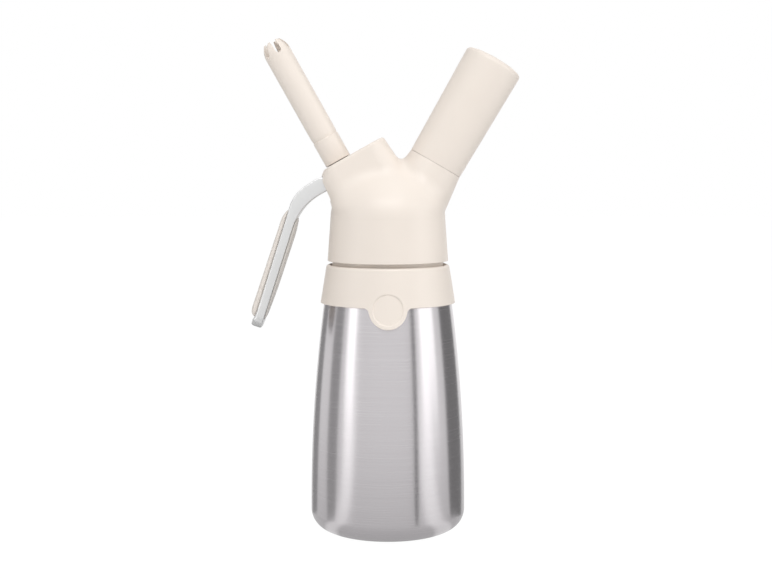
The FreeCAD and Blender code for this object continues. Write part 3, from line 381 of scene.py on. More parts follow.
heights = np.linspace(BELLY, WALL_TOP, 60)
wall = np.stack([wall_radius(heights), heights], -1)
outside = np.concatenate([
    rounded_path([(0, 1.5, 0), (20.5, 1.5, 1.2), (22.2, 0, 1.2), (FOOT_RING, 0, 0)]),
    rounded_path([(FOOT_RING, 0, 0), (BOTTLE_RADIUS, 0, 9.4), (BOTTLE_RADIUS, BELLY, 0)], 4.0)[1:-1],
    wall[:-1],
    rounded_path([wall[-1].tolist() + [0], (29.62, SHOULDER, 2.9), (NECK, SHOULDER, 0)]),
    finer(rounded_path([(NECK, SHOULDER, 0), (NECK, RIM, 0.45), (24.55, RIM, 0)]), 0.35)[1:]])
inside = np.concatenate([
    rounded_path([(24.5, RIM, 0), (23.7, RIM, 0.4), (23.7, 120.1, 1.0), (27, 120.1, 0)]),
    np.array([[28.2, 119.6], [28.94, 118]]),
    (wall - (SHEET, 0))[::-1][1:],
    rounded_path([(36.5, 9.4, 0), (36.5, SHEET, 8.5), (FOOT_RING, SHEET, 0)], 6.0)[1:],
    rounded_path([(FOOT_RING, SHEET, 0), (22.4, SHEET, 1.0), (20.7, 2.4, 1.0), (0, 2.4, 0)])[1:]])
neck_thread = thread(4.0, 0.28, 124, 138)
bottle = piece("bottle_shell", lathe(
    np.concatenate([outside, inside]), full_turn(288),
    lambda turn, height, radius: neck_thread(turn, height) * (np.abs(radius - NECK) < 0.01)))

steel = Finish("brushed_steel", Metallic=1.0, Anisotropic=0.7, Anisotropic_Rotation=0.25)
streaks = steel.grain((16, 16, 7000), 4.0, 0.65)
fine = steel.ramp(streaks, 0.3, 0.7)
steel.shade(Base_Color=steel.tint(fine, (0.562, 0.538, 0.552), (0.61, 0.586, 0.60)),
            Roughness=0.20 + fine * 0.08, Normal=steel.bump(streaks, 0.12, 0.00003))
fit(bottle, "bottle", "bottle", steel.material)


# Neck collar: a moulded cream ring that drops over the neck and stands on the shoulder. Its
# front edge dips into a round tab with a shallow bare disc.
COLLAR_FOOT, COLLAR_TOP, COLLAR_RADIUS, COLLAR_TAPER = 110.4, 128.75, 29.54, 0.162
TAB_RADIUS, TAB_BLEND, BLEND_START = 9, 2.5, -11.36
DISC_MIDDLE, DISC_RADIUS, DISC_DEPTH, DISC_WALL = 109.7, 7.35, 0.5, 0.45
TOP_ROUND, TOP_STEP, FOOT_ROUND = 1.5, 0.24, 0.35


def collar_radius(height):
    """The collar's outside: a cone that widens towards its foot."""
    return COLLAR_RADIUS + (COLLAR_TOP - height) * COLLAR_TAPER


blend = np.radians(np.linspace(90, 171.2, 16))
touch = np.stack([BLEND_START - TAB_BLEND * np.cos(blend),
                  COLLAR_FOOT - TAB_BLEND + TAB_BLEND * np.sin(blend)], -1)
hang = np.radians(np.linspace(189.0, 270, 44))
tab = np.stack([TAB_RADIUS * np.cos(hang), DISC_MIDDLE + TAB_RADIUS * np.sin(hang)], -1)
half = np.concatenate([touch, tab])
edge = np.concatenate([half, (half * (-1, 1))[::-1][1:]])
edge_turn = np.arcsin(edge[:, 0] / collar_radius(edge[:, 1]))
rest = np.linspace(edge_turn[-1], 2 * math.pi + edge_turn[0], 200)[1:]
columns = np.concatenate([edge_turn, rest]) - math.pi / 2
lower = np.concatenate([edge[:, 1], np.full(len(rest), COLLAR_FOOT)])[None, :]


def collar_rows(radii, heights):
    """Rows of the ring: each has a radius and a height at every column."""
    shape = np.broadcast_shapes(radii.shape, heights.shape)
    radii, heights = np.broadcast_to(radii, shape), np.broadcast_to(heights, shape)
    return np.stack([radii * np.cos(columns), radii * np.sin(columns), heights], -1)


rise = np.linspace(0, 1, 92)[:, None]
skin_height = lower + FOOT_ROUND + (COLLAR_TOP - TOP_ROUND - lower - FOOT_ROUND) * rise
skin_radius = collar_radius(skin_height)
off_disc = np.hypot(skin_radius * np.cos(columns), skin_height - DISC_MIDDLE)
front = np.sin(columns) < 0
sunk = np.clip((DISC_RADIUS - off_disc) / DISC_WALL, 0, 1)
skin_radius = skin_radius - DISC_DEPTH * sunk * sunk * (3 - 2 * sunk) * front
low_turn = np.radians(np.linspace(90, 0, 6))[:, None]
foot_height = lower + FOOT_ROUND - FOOT_ROUND * np.sin(low_turn)
foot_radius = collar_radius(lower) - FOOT_ROUND + FOOT_ROUND * np.cos(low_turn)
top_turn = np.radians(np.linspace(8, 90, 10))[:, None]
top_radius = COLLAR_RADIUS + TOP_STEP - TOP_ROUND + TOP_ROUND * np.cos(top_turn) + 0 * lower
top_height = COLLAR_TOP - TOP_ROUND + TOP_ROUND * np.sin(top_turn) + 0 * lower
inner = [(28.2, COLLAR_TOP), (28.1, COLLAR_TOP - 0.2), (28.1, 123), (25.5, 123), (25.5, SHOULDER),
         (29.94, SHOULDER), (29.94, WALL_TOP)]
inner_rows = [collar_rows(r + 0 * lower, h + 0 * lower) for r, h in inner]
drop = WALL_TOP + (lower - WALL_TOP) * np.linspace(0.1, 1, 8)[:, None]
wall_rows = collar_rows(wall_radius(drop) + 0.1, drop)
rows = [collar_rows(foot_radius, foot_height), collar_rows(skin_radius, skin_height)[1:],
        collar_rows(top_radius, top_height), *inner_rows, wall_rows,
        collar_rows(foot_radius[:1], foot_height[:1])]
collar = piece("collar_ring", np.concatenate(rows))


def moulded(name, base):
    """A moulded plastic: a faint cloud in its colour and a fine satin grain."""
    finish = Finish(name, Specular_IOR_Level=0.62)
    cloud = finish.grain((40, 40, 40), 2.0)
    pores = finish.grain((1400, 1400, 1400), 2.0, 0.6)
    paler = [min(1.0, value * 1.02) for value in base]
    darker = [value * 0.975 for value in base]
    finish.shade(Base_Color=finish.tint(cloud, darker, paler), Roughness=0.38 + pores * 0.08,
                 Normal=finish.bump(pores, 0.12, 0.00003))
    return finish.material


cream = moulded("cream_moulding", (0.855, 0.775, 0.70))
fit(collar, "bottle", "neck_collar", cream)


# Head gasket: a flat ring of silicone rubber. It lies on the bottle's rim, where the screwed
# head presses it tight.
def dress(node, finish):
    """A CAD node that stays gets its finish."""
    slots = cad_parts[node].data.materials
    slots.clear()
    slots.append(finish)


def rubber(name, base, roughness):
    """Matt rubber: a dusty cloud and a faint grain."""
    finish = Finish(name, Specular_IOR_Level=0.35)
    dust = finish.grain((260, 260, 260), 4.0)
    finish.shade(Base_Color=finish.tint(dust, [v * 0.85 for v in base], [v * 1.1 for v in base]),
                 Roughness=roughness - 0.06 + dust * 0.12, Normal=finish.bump(dust, 0.2, 0.00005))
    return finish.material


dress("head_gasket", rubber("silicone", (0.78, 0.76, 0.70), 0.55))


# Head: one cream moulding. A skirt screws on the bottle, and a rounded shoulder flows into the
# valve block, which leans left, and the charger's arm, which leans right.
TIP_BASE, TIP_LEAN = (-23.6, 178.0), -29.3
ARM_BASE, ARM_LEAN = (22.73, 177.05), 30.0


def leant(points, base, degrees):
    """An upright piece leant about Y onto its own axis: x = bx + x cos a + z sin a, and
    z = bz - x sin a + z cos a."""
    cos, sin = math.cos(math.radians(degrees)), math.sin(math.radians(degrees))
    x, y, z = points[..., 0], points[..., 1], points[..., 2]
    return np.stack([base[0] + x * cos + z * sin, y, base[1] - x * sin + z * cos], -1)


def upright(points, base, degrees):
    """The reverse: a point of the head as it lies on an upright axis."""
    cos, sin = math.cos(math.radians(degrees)), math.sin(math.radians(degrees))
    x, y, z = points[..., 0] - base[0], points[..., 1], points[..., 2] - base[1]
    return x * cos - z * sin, y, x * sin + z * cos


def soft_union(one, other, reach):
    """The nearer of two distances, rounded off where they differ by less than the reach."""
    mix = np.clip(0.5 + 0.5 * (other - one) / reach, 0, 1)
    return other + (one - other) * mix - reach * mix * (1 - mix)


def block_edge(across):
    """The round of the block's top edge, which grows towards its left end over the lever."""
    share = np.clip((-3 - across) / 7, 0, 1)
    return 1.2 + 4.6 * share * share * (3 - 2 * share)


def capped(side, top, edge):
    """Inside both a side and a top, with a round edge between them."""
    side, top = side + edge, top + edge
    return np.hypot(np.maximum(side, 0), np.maximum(top, 0)) + np.minimum(np.maximum(side, top), 0) - edge


HEAD_FOOT, SEAM, DOME = 130.55, 148.0, 151.0
SKIRT_RADIUS, SKIRT_TAPER, DOME_FLAT, DOME_ROUND = 27.6, 0.0724, 7.6, 20
BLOCK_MIDDLE, BLOCK_X, BLOCK_Y, BLOCK_ROUND, BLOCK_FLARE = 6.5, 9.4, 5.5, 8.5, 5
ARM_RADIUS, ARM_FLARE, ARM_EDGE = 13.4, 7, 0.12


def skirt_radius(height):
    """The head's wall: a cone that narrows to the foot of the dome."""
    return SKIRT_RADIUS + (DOME - height) * SKIRT_TAPER


def off_oblong(x, y):
    """How far a point lies outside the oblong that the block's round stands off from."""
    over_x, over_y = np.abs(x) - BLOCK_X, np.abs(y) - BLOCK_Y
    return (np.hypot(np.maximum(over_x, 0), np.maximum(over_y, 0))
            + np.minimum(np.maximum(over_x, over_y), 0))


def head_distance(points):
    """How far a point lies outside the head: the least of its distances from the domed skirt,
    the flared block and the arm's cone, blended softly where they meet."""
    x, y, z = points[..., 0], points[..., 1], points[..., 2]
    radius = np.hypot(x, y)
    dome = np.where(z < DOME, radius - skirt_radius(z),
                    np.hypot(np.maximum(radius - DOME_FLAT, 0), z - DOME) - DOME_ROUND)
    across, y, out = upright(points, TIP_BASE, TIP_LEAN)
    flare = -out * math.tan(math.radians(BLOCK_FLARE))
    side = (off_oblong(across - BLOCK_MIDDLE, y) - BLOCK_ROUND - flare) * 0.996
    block = capped(side, out, block_edge(across))
    across, y, out = upright(points, ARM_BASE, ARM_LEAN)
    side = (np.hypot(across, y) - ARM_RADIUS + out * math.tan(math.radians(ARM_FLARE))) * 0.993
    arm = capped(side, out, ARM_EDGE)
    rise = np.clip((z - SEAM) / 10, 0, 1)
    reach = 0.01 + (8.0 - 7.9 * np.exp(-(y / 11.0) ** 2)) * rise * rise * (3 - 2 * rise)
    return soft_union(dome, soft_union(block, arm, 5.0), reach)


CENTRE = np.array([0.0, 0.0, 150.0])


def on_head(points):
    """Each point moved along its ray from the head's middle onto the surface, by halving."""
    ray = points - CENTRE
    ray = ray / np.linalg.norm(ray, axis=-1, keepdims=True)
    near, far = np.full(ray.shape[:-1], 4.0), np.full(ray.shape[:-1], 62.0)
    for _ in range(34):
        middle = (near + far) / 2
        inside = head_distance(CENTRE + ray * middle[..., None]) < 0
        near, far = np.where(inside, middle, near), np.where(inside, far, middle)
    return CENTRE + ray * near[..., None]


# The surface is drawn as two sides, one round the block's flat top and one round the arm's.
# They meet along a ridge over the head, which leaves the seam at the bearing PART.
RIDGE_REACH, RIDGE_BACK, RIDGE_LEAN = 27.8, -0.49, math.radians(13.8)
PART = math.atan2(RIDGE_REACH, RIDGE_BACK)
left_turns = np.linspace(PART, 2 * math.pi - PART, 121)
right_turns = np.linspace(-PART, PART, 123)
start = math.atan2((SEAM - CENTRE[2]) / math.cos(RIDGE_LEAN), RIDGE_REACH)
swing = np.linspace(start, math.pi - start, 112)
ridge = on_head(CENTRE + np.stack([np.sin(swing) * math.sin(RIDGE_LEAN), -np.cos(swing),
                                   np.sin(swing) * math.cos(RIDGE_LEAN)], -1))


def ring_at_seam(turns):
    """Points on the head's wall at the height where its skirt begins."""
    radius = skirt_radius(SEAM)
    return np.stack([radius * np.cos(turns), radius * np.sin(turns), np.full(len(turns), SEAM)], -1)


ridge[0], ridge[-1] = ring_at_seam(np.array([-PART, PART]))


def cap(turns, ridge, base, degrees, outline, middle):
    """One side of the head as rings round its flat top: the face, its round edge, then rows
    that spread from there to the seam and are moved onto the surface."""
    border = np.concatenate([ring_at_seam(turns), ridge[1:-1]])
    border = np.concatenate([border, border[:1]])
    x, y, _ = upright(border, base, degrees)
    bearing = np.arctan2(y, x - middle)
    rim, edge = outline(bearing)
    rings = [leant(np.stack([middle + (rim[:, 0] - middle) * share, rim[:, 1] * share, 0 * bearing], -1),
                   base, degrees) for share in (0, 0.3, 0.6, 0.8, 0.95)]
    unit = np.stack([rim[:, 0] - middle, rim[:, 1]], -1)
    unit = unit / np.hypot(*unit.T)[:, None]
    for turn in np.radians(np.linspace(0, 85, 7)):
        out, down = edge * math.sin(turn), edge * (1 - math.cos(turn))
        spot = np.stack([rim[:, 0] + unit[:, 0] * out, rim[:, 1] + unit[:, 1] * out,
                         0 * bearing - down], -1)
        rings.append(on_head(leant(spot, base, degrees)))
    share = np.linspace(0, 1, 62)[1:-1, None, None]
    spread = on_head(rings[-1][None] * (1 - share) + border[None] * share)
    return np.concatenate([np.stack(rings), spread, border[None]])


def block_outline(bearing):
    """The block's flat top, a rounded rectangle, where a ray at each bearing leaves it, and the
    round of its edge there."""
    away = np.linspace(0, 30, 1201)[:, None]
    x, y = away * np.cos(bearing), away * np.sin(bearing)
    past = off_oblong(x, y) > BLOCK_ROUND - block_edge(BLOCK_MIDDLE + x)
    away = away[np.argmax(past, axis=0), 0]
    rim = np.stack([BLOCK_MIDDLE + away * np.cos(bearing), away * np.sin(bearing)], -1)
    return rim, block_edge(rim[:, 0])


def arm_outline(bearing):
    """The same for the arm's flat top, a circle."""
    reach = ARM_RADIUS - ARM_EDGE
    return np.stack([reach * np.cos(bearing), reach * np.sin(bearing)], -1), np.full(len(bearing), ARM_EDGE)


block_cap = cap(left_turns, ridge, TIP_BASE, TIP_LEAN, block_outline, BLOCK_MIDDLE)
arm_cap = cap(right_turns, ridge[::-1], ARM_BASE, ARM_LEAN, arm_outline, 0.0)
SKIRT_BORE = 25.8
skirt_turns = np.concatenate([left_turns, right_turns[1:] + 2 * math.pi])
skirt = np.concatenate([
    [[skirt_radius(SEAM), SEAM]], [[skirt_radius(134), 134]],
    rounded_path([(skirt_radius(133), 133, 0), (skirt_radius(HEAD_FOOT), HEAD_FOOT, 0.3),
                  (26.75, HEAD_FOOT, 0)]),
    rounded_path([(26.75, 130.4, 0), (26.75, 126, 0.4), (SKIRT_BORE, 126, 0.4), (SKIRT_BORE, 126.6, 0)]),
    finer(np.array([[SKIRT_BORE, 126.7], [SKIRT_BORE, 142.2]]), 0.35),
    rounded_path([(25.7, 142.2, 0), (21, 142.2, 0.4), (21, 149, 3.0), (0, 149, 0)])])
bore_thread = thread(4.0, -0.2, 125, 141.5, 0.5)
head = piece("head_moulding", block_cap, arm_cap, lathe(
    skirt, skirt_turns,
    lambda turn, height, radius: bore_thread(turn, height) * (np.abs(radius - SKIRT_BORE) < 0.01)))


def carved(thing, *tools):
    """The piece with each tool's volume taken out of it."""
    for tool in tools:
        cut = thing.modifiers.new("cut", "BOOLEAN")
        cut.operation, cut.solver, cut.object = "DIFFERENCE", "EXACT", tool
    bpy.context.view_layer.update()
    graph = bpy.context.evaluated_depsgraph_get()
    mesh = bpy.data.meshes.new_from_object(thing.evaluated_get(graph))
    mesh.name = thing.data.name + "_carved"
    thing.modifiers.clear()
    thing.data = mesh
    for tool in tools:
        bpy.data.objects.remove(tool)
    smooth(mesh)
    return thing


def slab(name, x, y, z, base, degrees):
    """A box between two limits on each of its own axes, leant into place."""
    loop = ((x[0], z[0]), (x[0], z[1]), (x[1], z[1]), (x[1], z[0]), (x[0], z[0]))
    band = np.array([[[u, side, w] for side in y] for u, w in loop], float)
    ends = [np.array([[[u, side, w] for w in z] for u in x], float) for side in y]
    return piece(name, *(leant(grid, base, degrees) for grid in (band, *ends)))


def drill(name, path, base, degrees):
    """A stepped bore: a line of (radius, height) turned about an axis and leant into place."""
    return piece(name, leant(lathe(np.array(path, float), full_turn(96)), base, degrees))


carved(head,
       slab("lever_slot", (-40, 21.6), (-9.2, 9.2), (-14.36, -2.4), TIP_BASE, TIP_LEAN),
       drill("roof_hole", [(0, -3.4), (6.75, -3.4), (6.75, 1), (0, 1)], TIP_BASE, TIP_LEAN),
       drill("valve_bore", [(0, -44.4), (9.4, -44.4), (9.4, -30), (4.4, -30), (4.4, -25), (6.5, -25),
                            (6.5, -13.36), (0, -13.36)], TIP_BASE, TIP_LEAN),
       drill("charger_bore", [(0, -34.7), (1.2, -34.7), (1.2, -26.2), (3.6, -26.2), (3.6, -17), (10.35, -17),
                              (10.35, 1), (0, 1)], ARM_BASE, ARM_LEAN))
fit(head, "head", "head_housing", cream)


# Gas inlet: a threaded aluminium boss in the arm with a steel needle and a rubber seal, and below
# it a brass plug whose rubber flap lets the gas in and not out. They keep their CAD shapes.
def turned_metal(name, base, roughness, lean, lines=3500):
    """Turned metal: fine rings along the piece's own axis."""
    finish = Finish(name, Metallic=1.0)
    rings = finish.grain((14, 14, lines), 3.0, 0.6, lean)
    finish.shade(Base_Color=finish.tint(rings, [v * 0.88 for v in base], base),
                 Roughness=roughness - 0.08 + rings * 0.16, Normal=finish.bump(rings, 0.3, 0.00003))
    return finish.material


STEEL, BRASS = (0.66, 0.66, 0.68), (0.74, 0.56, 0.26)
boss_metal = turned_metal("turned_aluminium", (0.80, 0.80, 0.82), 0.32, ARM_LEAN)
black = rubber("valve_rubber", (0.03, 0.03, 0.03), 0.6)
dress("charger_boss", boss_metal)
dress("piercing_pin", turned_metal("turned_needle_steel", STEEL, 0.28, ARM_LEAN))
dress("charger_seal", black)
dress("inlet_valve_body", turned_metal("arm_brass", BRASS, 0.3, ARM_LEAN))
dress("inlet_valve_flap", black)


# Cream valve: a hollow steel stem in a brass bush with its O-ring, the flanged sleeve that the
# lever presses, the washers that seal the stem and the tip, and the lever's pin. They sit in the
# block, and keep their CAD shapes.
tip_steel = turned_metal("turned_steel", STEEL, 0.28, TIP_LEAN)
dress("stem_guide_bush", turned_metal("tip_brass", BRASS, 0.3, TIP_LEAN))
for node in ("valve_stem", "thrust_sleeve", "lever_pin"):
    dress(node, tip_steel)
for node in ("stem_o_ring", "valve_seal", "tip_gasket"):
    dress(node, black)


# Valve spring: a coil of spring steel wire that stands on the bush and lifts the sleeve. The real
# coil shortens as the lever is squeezed; this one is drawn at its rest length.
SPRING_FOOT, SPRING_LENGTH, VALVE_TRAVEL = -18.95, 7.85, 2.51


def coil(name, radius, wire, turns, foot, length):
    """A round wire wound up a cylinder: its centre is (r cos a, r sin a, z), z rises evenly with
    the angle a, and both ends are closed."""
    swing = np.linspace(0, 2 * math.pi * turns, 325)[:, None]
    around = np.radians(np.linspace(0, 360, 21))[None, :]
    height = foot + wire / 2 + (length - wire) * swing / swing[-1]
    reach = radius + wire / 2 * np.cos(around)
    grid = np.stack([reach * np.cos(swing), reach * np.sin(swing), height + wire / 2 * np.sin(around)], -1)
    ends = [np.broadcast_to(grid[k, 1:].mean(0), grid[k].shape)[None] for k in (0, -1)]
    return piece(name, leant(np.concatenate([ends[0], grid, ends[1]]), TIP_BASE, TIP_LEAN))


spring = coil("valve_spring_coil", 5.3, 1.0, 4.5, SPRING_FOOT, SPRING_LENGTH)
fit(spring, "head", "valve_spring",
    turned_metal("spring_wire", (0.6, 0.6, 0.62), 0.22, TIP_LEAN, 900))
spring_ends = np.array([(0, 0, SPRING_FOOT), (0, 0, SPRING_FOOT + SPRING_LENGTH)])
spring_ends = leant(spring_ends, TIP_BASE, TIP_LEAN) * MM
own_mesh(spring)


# Lever: a zinc casting tumbled to a satin skin. Its fork straddles the valve inside the head and
# turns on the pin; outside, it bends down into a long blade with a lipped, round-cornered foot.
LEVER_TOP, LEVER_UNDER, FORK_UNDER = -2.75, -9.35, -8.2
BEND_SPOT, BEND = (-25.8, LEVER_TOP), math.radians(42.8)
BLADE, BLADE_LENGTH, LEVER_HALF, FOOT_LENGTH = 4.5, 66.9, 8.8, 6.2
FORK_HALF, FORK_FLOOR, PIN_X, PIN_Z, PIN_BORE, HUB_ROUND = 4.7, -3.8, 17.4, -6.05, 1.55, 3.3
PRESS_ROUND, PRESS_REACH = 2.8, 2.262


def on_blade(along, out, round_by=0.0):
    """A corner of the lever's side view: along the blade from the bend, and out from its face."""
    return (BEND_SPOT[0] - along * math.cos(BEND) - out * math.sin(BEND),
            BEND_SPOT[1] - along * math.sin(BEND) + out * math.cos(BEND), round_by)


def stations(path, marks, counts):
    """Points along a line, evenly spaced between the places that lie nearest to the marks."""
    path = finer(path, 0.1)
    run = np.concatenate([[0], np.cumsum(np.hypot(*np.diff(path, axis=0).T))])
    ends = [run[np.argmin(np.hypot(*(path - mark[:2]).T))] for mark in marks]
    spans = [np.linspace(a, b, count, endpoint=False) for a, b, count in zip(ends, ends[1:], counts)]
    places = np.concatenate([*spans, ends[-1:]])
    return np.stack([np.interp(places, run, path[:, 0]), np.interp(places, run, path[:, 1])], -1)


def foot_half(along):
    """Half the blade's width: full, then drawn in as a quarter ellipse at the foot."""
    late = np.clip((along - BLADE_LENGTH + FOOT_LENGTH) / FOOT_LENGTH, 0, 1)
    return LEVER_HALF - 6.4 * (1 - np.sqrt(1 - late * late))


HUB_END, FOOT_END = (20.7, PIN_Z, 0), on_blade(BLADE_LENGTH, -2.0)
PRESS_ARC = math.asin(PRESS_REACH / PRESS_ROUND)
outer_line = rounded_path([
    HUB_END, (20.7, LEVER_TOP, HUB_ROUND), (-10.9, LEVER_TOP, 0.7), (-12.4, -2.02, 2.0),
    (-25.66, -2.60, 17.5), on_blade(61.9, 0, 1.0), on_blade(63.3, 0.7, 1.5),
    on_blade(BLADE_LENGTH, 0.7, 1.2), FOOT_END], 4.0)
inner_line = rounded_path([
    HUB_END, (20.7, LEVER_UNDER, HUB_ROUND), (17.0, LEVER_UNDER, 0), (12.95, FORK_UNDER, 0),
    (PRESS_REACH, FORK_UNDER, 0), (0, FORK_UNDER - PRESS_REACH * math.tan(PRESS_ARC), PRESS_ROUND),
    (-PRESS_REACH, FORK_UNDER, 0), (-8.5, FORK_UNDER, 0), (-10.8, LEVER_UNDER, 0),
    (-26.3, LEVER_UNDER, 28.0), on_blade(BLADE_LENGTH, -BLADE, 1.2), FOOT_END], 3.0)
counts = (10, 40, 24, 40, 26, 6)
upper = stations(outer_line, (HUB_END, (PIN_X, LEVER_TOP), (-18.8, -2.35), on_blade(6.9, 0),
                              on_blade(61, 0), on_blade(BLADE_LENGTH, -0.6), FOOT_END), counts)
lower = stations(inner_line, (HUB_END, (PIN_X, LEVER_UNDER), (-15.3, LEVER_UNDER), on_blade(15.8, -BLADE),
                              on_blade(61, -BLADE), on_blade(BLADE_LENGTH, -3.2), FOOT_END), counts)
thick = np.hypot(*(upper - lower).T)[:, None]
toward = (upper - lower) / np.maximum(thick, 1e-6)
mean = (upper + lower) / 2 - BEND_SPOT
blade_run = -mean[:, :1] * math.cos(BEND) - mean[:, 1:] * math.sin(BEND)
breadth = foot_half(blade_run)
soft = 0.6 + 0.8 * np.clip((blade_run - 4) / 6, 0, 1)
quarter = np.radians(np.linspace(0, 90, 7))[None, :]
corner_out = np.minimum(soft, thick * 0.49)
corner_in = np.minimum(0.6, thick * 0.49)
half_loop_y = np.concatenate([breadth - corner_in + corner_in * np.sin(quarter),
                              breadth - corner_out + corner_out * np.cos(quarter)], 1)
half_loop_h = np.concatenate([corner_in - corner_in * np.cos(quarter),
                              thick - corner_out + corner_out * np.sin(quarter)], 1)
loop_y = np.concatenate([half_loop_y, -half_loop_y[:, ::-1], half_loop_y[:, :1]], 1)
loop_h = np.concatenate([half_loop_h, half_loop_h[:, ::-1], half_loop_h[:, :1]], 1)
loops = np.stack([lower[:, :1] + toward[:, :1] * loop_h, loop_y,
                  lower[:, 1:] + toward[:, 1:] * loop_h], -1)
lever = piece("lever_casting", leant(loops, TIP_BASE, TIP_LEAN))
fork_end = lathe(np.array([(0, -12.0), (FORK_HALF, -12), (FORK_HALF, 0), (0, 0)]), full_turn(96))
fork_end = fork_end + (FORK_FLOOR, 0, 0)
pin_bore = lathe(np.array([(0, -12.0), (PIN_BORE, -12), (PIN_BORE, 12), (0, 12)]), full_turn(48))
pin_bore = pin_bore[..., [0, 2, 1]] + (PIN_X, 0, PIN_Z)
carved(lever,
       slab("fork_slot", (FORK_FLOOR, 9), (-FORK_HALF, FORK_HALF), (-12, 0), TIP_BASE, TIP_LEAN),
       piece("fork_end", leant(fork_end, TIP_BASE, TIP_LEAN)),
       piece("pin_bore", leant(pin_bore, TIP_BASE, TIP_LEAN)))

cast = Finish("satin_casting", Metallic=0.85)
skin = cast.grain((900, 900, 900), 3.0, 0.6)
cloud = cast.grain((60, 60, 60), 2.0)
cast.shade(Base_Color=cast.tint(cloud, (0.68, 0.68, 0.68), (0.75, 0.75, 0.745)),
           Roughness=0.36 + skin * 0.10, Normal=cast.bump(skin, 0.08, 0.00003))
fit(lever, "lever", "lever", cast.material)


# Palm pad: a crowned pad of cream plastic, moulded round the outside of the blade. It stands on
# a narrower foot, so that a fine dark line runs round it.
PAD_HALF, PAD_WAIST, PAD_POWER = 8.3, 0.42, 2.6
PALM_START, PALM_RUN = 8.1, 54.1


def pad(name, line, outward, height, half, tuck):
    """A pad along a line: its section is |y / w|^p + |h / H|^p = 1 above its widest place, and
    tucks in to a narrower foot below. The half width w and the height H change along the line."""
    along = np.gradient(line, axis=0)
    normal = np.stack([-along[:, 1], along[:, 0]], -1) / np.hypot(*along.T)[:, None] * outward
    turn, low = (np.radians(np.linspace(*ends))[None, :] for ends in ((0, 180, 33), (-90, 0, 8)))
    height, half = height[:, None], half[:, None]
    waist, tuck = height * PAD_WAIST, np.minimum(tuck, half * 0.3)
    y = half * np.sign(np.cos(turn)) * np.abs(np.cos(turn)) ** (2 / PAD_POWER)
    h = waist + (height - waist) * np.sin(turn) ** (2 / PAD_POWER)
    low_y, low_h = half - tuck + tuck * np.cos(low), waist + waist * np.sin(low)
    low_y, low_h = low_y[:, :-1], low_h[:, :-1]
    foot = low_h[:, :1] - 0.02
    y = np.concatenate([low_y[:, :1], low_y, y, -low_y[:, ::-1], -low_y[:, :1], low_y[:, :1]], 1)
    h = np.concatenate([foot, low_h, h, low_h[:, ::-1], foot, foot], 1)
    grid = np.stack([line[:, :1] + normal[:, :1] * h, y, line[:, 1:] + normal[:, 1:] * h], -1)
    ends = [np.broadcast_to(grid[k].mean(0), grid[k].shape)[None] for k in (0, -1)]
    return piece(name, leant(np.concatenate([ends[0], grid, ends[1]]), TIP_BASE, TIP_LEAN))


def drawn_in(run, length, lead, tail, power):
    """A share that rises from 0 over the lead, stays 1, and falls to 0 over the tail."""
    early, late = np.clip((lead - run) / lead, 0, 1), np.clip((run - length + tail) / tail, 0, 1)
    return (1 - early * early) ** power * np.sqrt(1 - late * late)


def eased(count):
    """Steps from 0 to 1 that are finer at both ends."""
    return (1 - np.cos(np.linspace(0, math.pi, count))) / 2


run = PALM_RUN * eased(90)
line = np.array([on_blade(PALM_START + r, 0)[:2] for r in run])
height = (2.15 + 0.0143 * run) * drawn_in(run, PALM_RUN, 6.5, 4.0, 0.75) + 0.01
half = PAD_HALF - 3.4 * (1 - drawn_in(run, PALM_RUN, 3.4, 3.4, 0.5))
outer_pad = pad("palm_pad", line, -1, height, half, 1.0)
grip_cream = moulded("grip_moulding", (0.80, 0.74, 0.685))
fit(outer_pad, "lever", "lever_outer_grip", grip_cream)


# Finger pad: a slimmer pad, moulded on the inside of the blade, whose colour is darkened as painted
# shade of its underside. It starts on an arc round the bend, and goes on straight along the blade.
ARC, ARC_MIDDLE, ARC_TURN, STRAIGHT = 28, (-15.33, -37.35), math.radians(32.8), 46.4
arc_run = math.radians(10) * ARC
run = (arc_run + STRAIGHT) * eased(90)
swing = ARC_TURN + np.minimum(run, arc_run) / ARC
spot = np.stack([ARC_MIDDLE[0] - ARC * np.sin(swing), ARC_MIDDLE[1] + ARC * np.cos(swing)], -1)
line = spot - np.maximum(run - arc_run, 0)[:, None] * (math.cos(BEND), math.sin(BEND))
belly = 1.75 - 0.3 * np.clip((run - 10) / 25, 0, 1) - 0.9 * np.clip((run - 34) / 17, 0, 1) ** 1.3
height = belly * drawn_in(run, run[-1], 9.0, 3.0, 0.5) + 0.01
half = PAD_HALF - 3.6 * (1 - drawn_in(run, run[-1], 3.6, 3.6, 0.5))
inner_pad = pad("finger_pad", line, 1, height, half, 0.7)
# Its colour is darker than the palm pad's: painted shade for the underside that faces the bottle.
shade_painted_grip = moulded("inner_grip_painted_shade", (0.66, 0.625, 0.585))
fit(inner_pad, "lever", "lever_inner_grip", shade_painted_grip)


# Tip adapter: the short foot of the decorator tip, moulded in cream plastic. It screws on the
# valve's stem, and the tip is pushed over its neck.
ADAPTER_RADIUS, ADAPTER_NECK = 6.48, 5.0
adapter_path = np.concatenate([
    finer(rounded_path([(2.65, 9.05, 0), (2.65, 0.4, 0.2), (ADAPTER_RADIUS, 0.4, 0.35),
                        (ADAPTER_RADIUS, 12.9, 0.3), (ADAPTER_NECK, 12.9, 0)]), 1.0),
    rounded_path([(ADAPTER_NECK, 12.95, 0), (ADAPTER_NECK, 20.9, 0.4), (2.9, 20.9, 0.2), (1.9, 19.4, 0),
                  (1.9, 9.05, 0), (2.65, 9.05, 0)])])
adapter = piece("adapter_ring", leant(lathe(adapter_path, full_turn(160)), TIP_BASE, TIP_LEAN))
fit(adapter, "tip", "tip_adapter", cream)


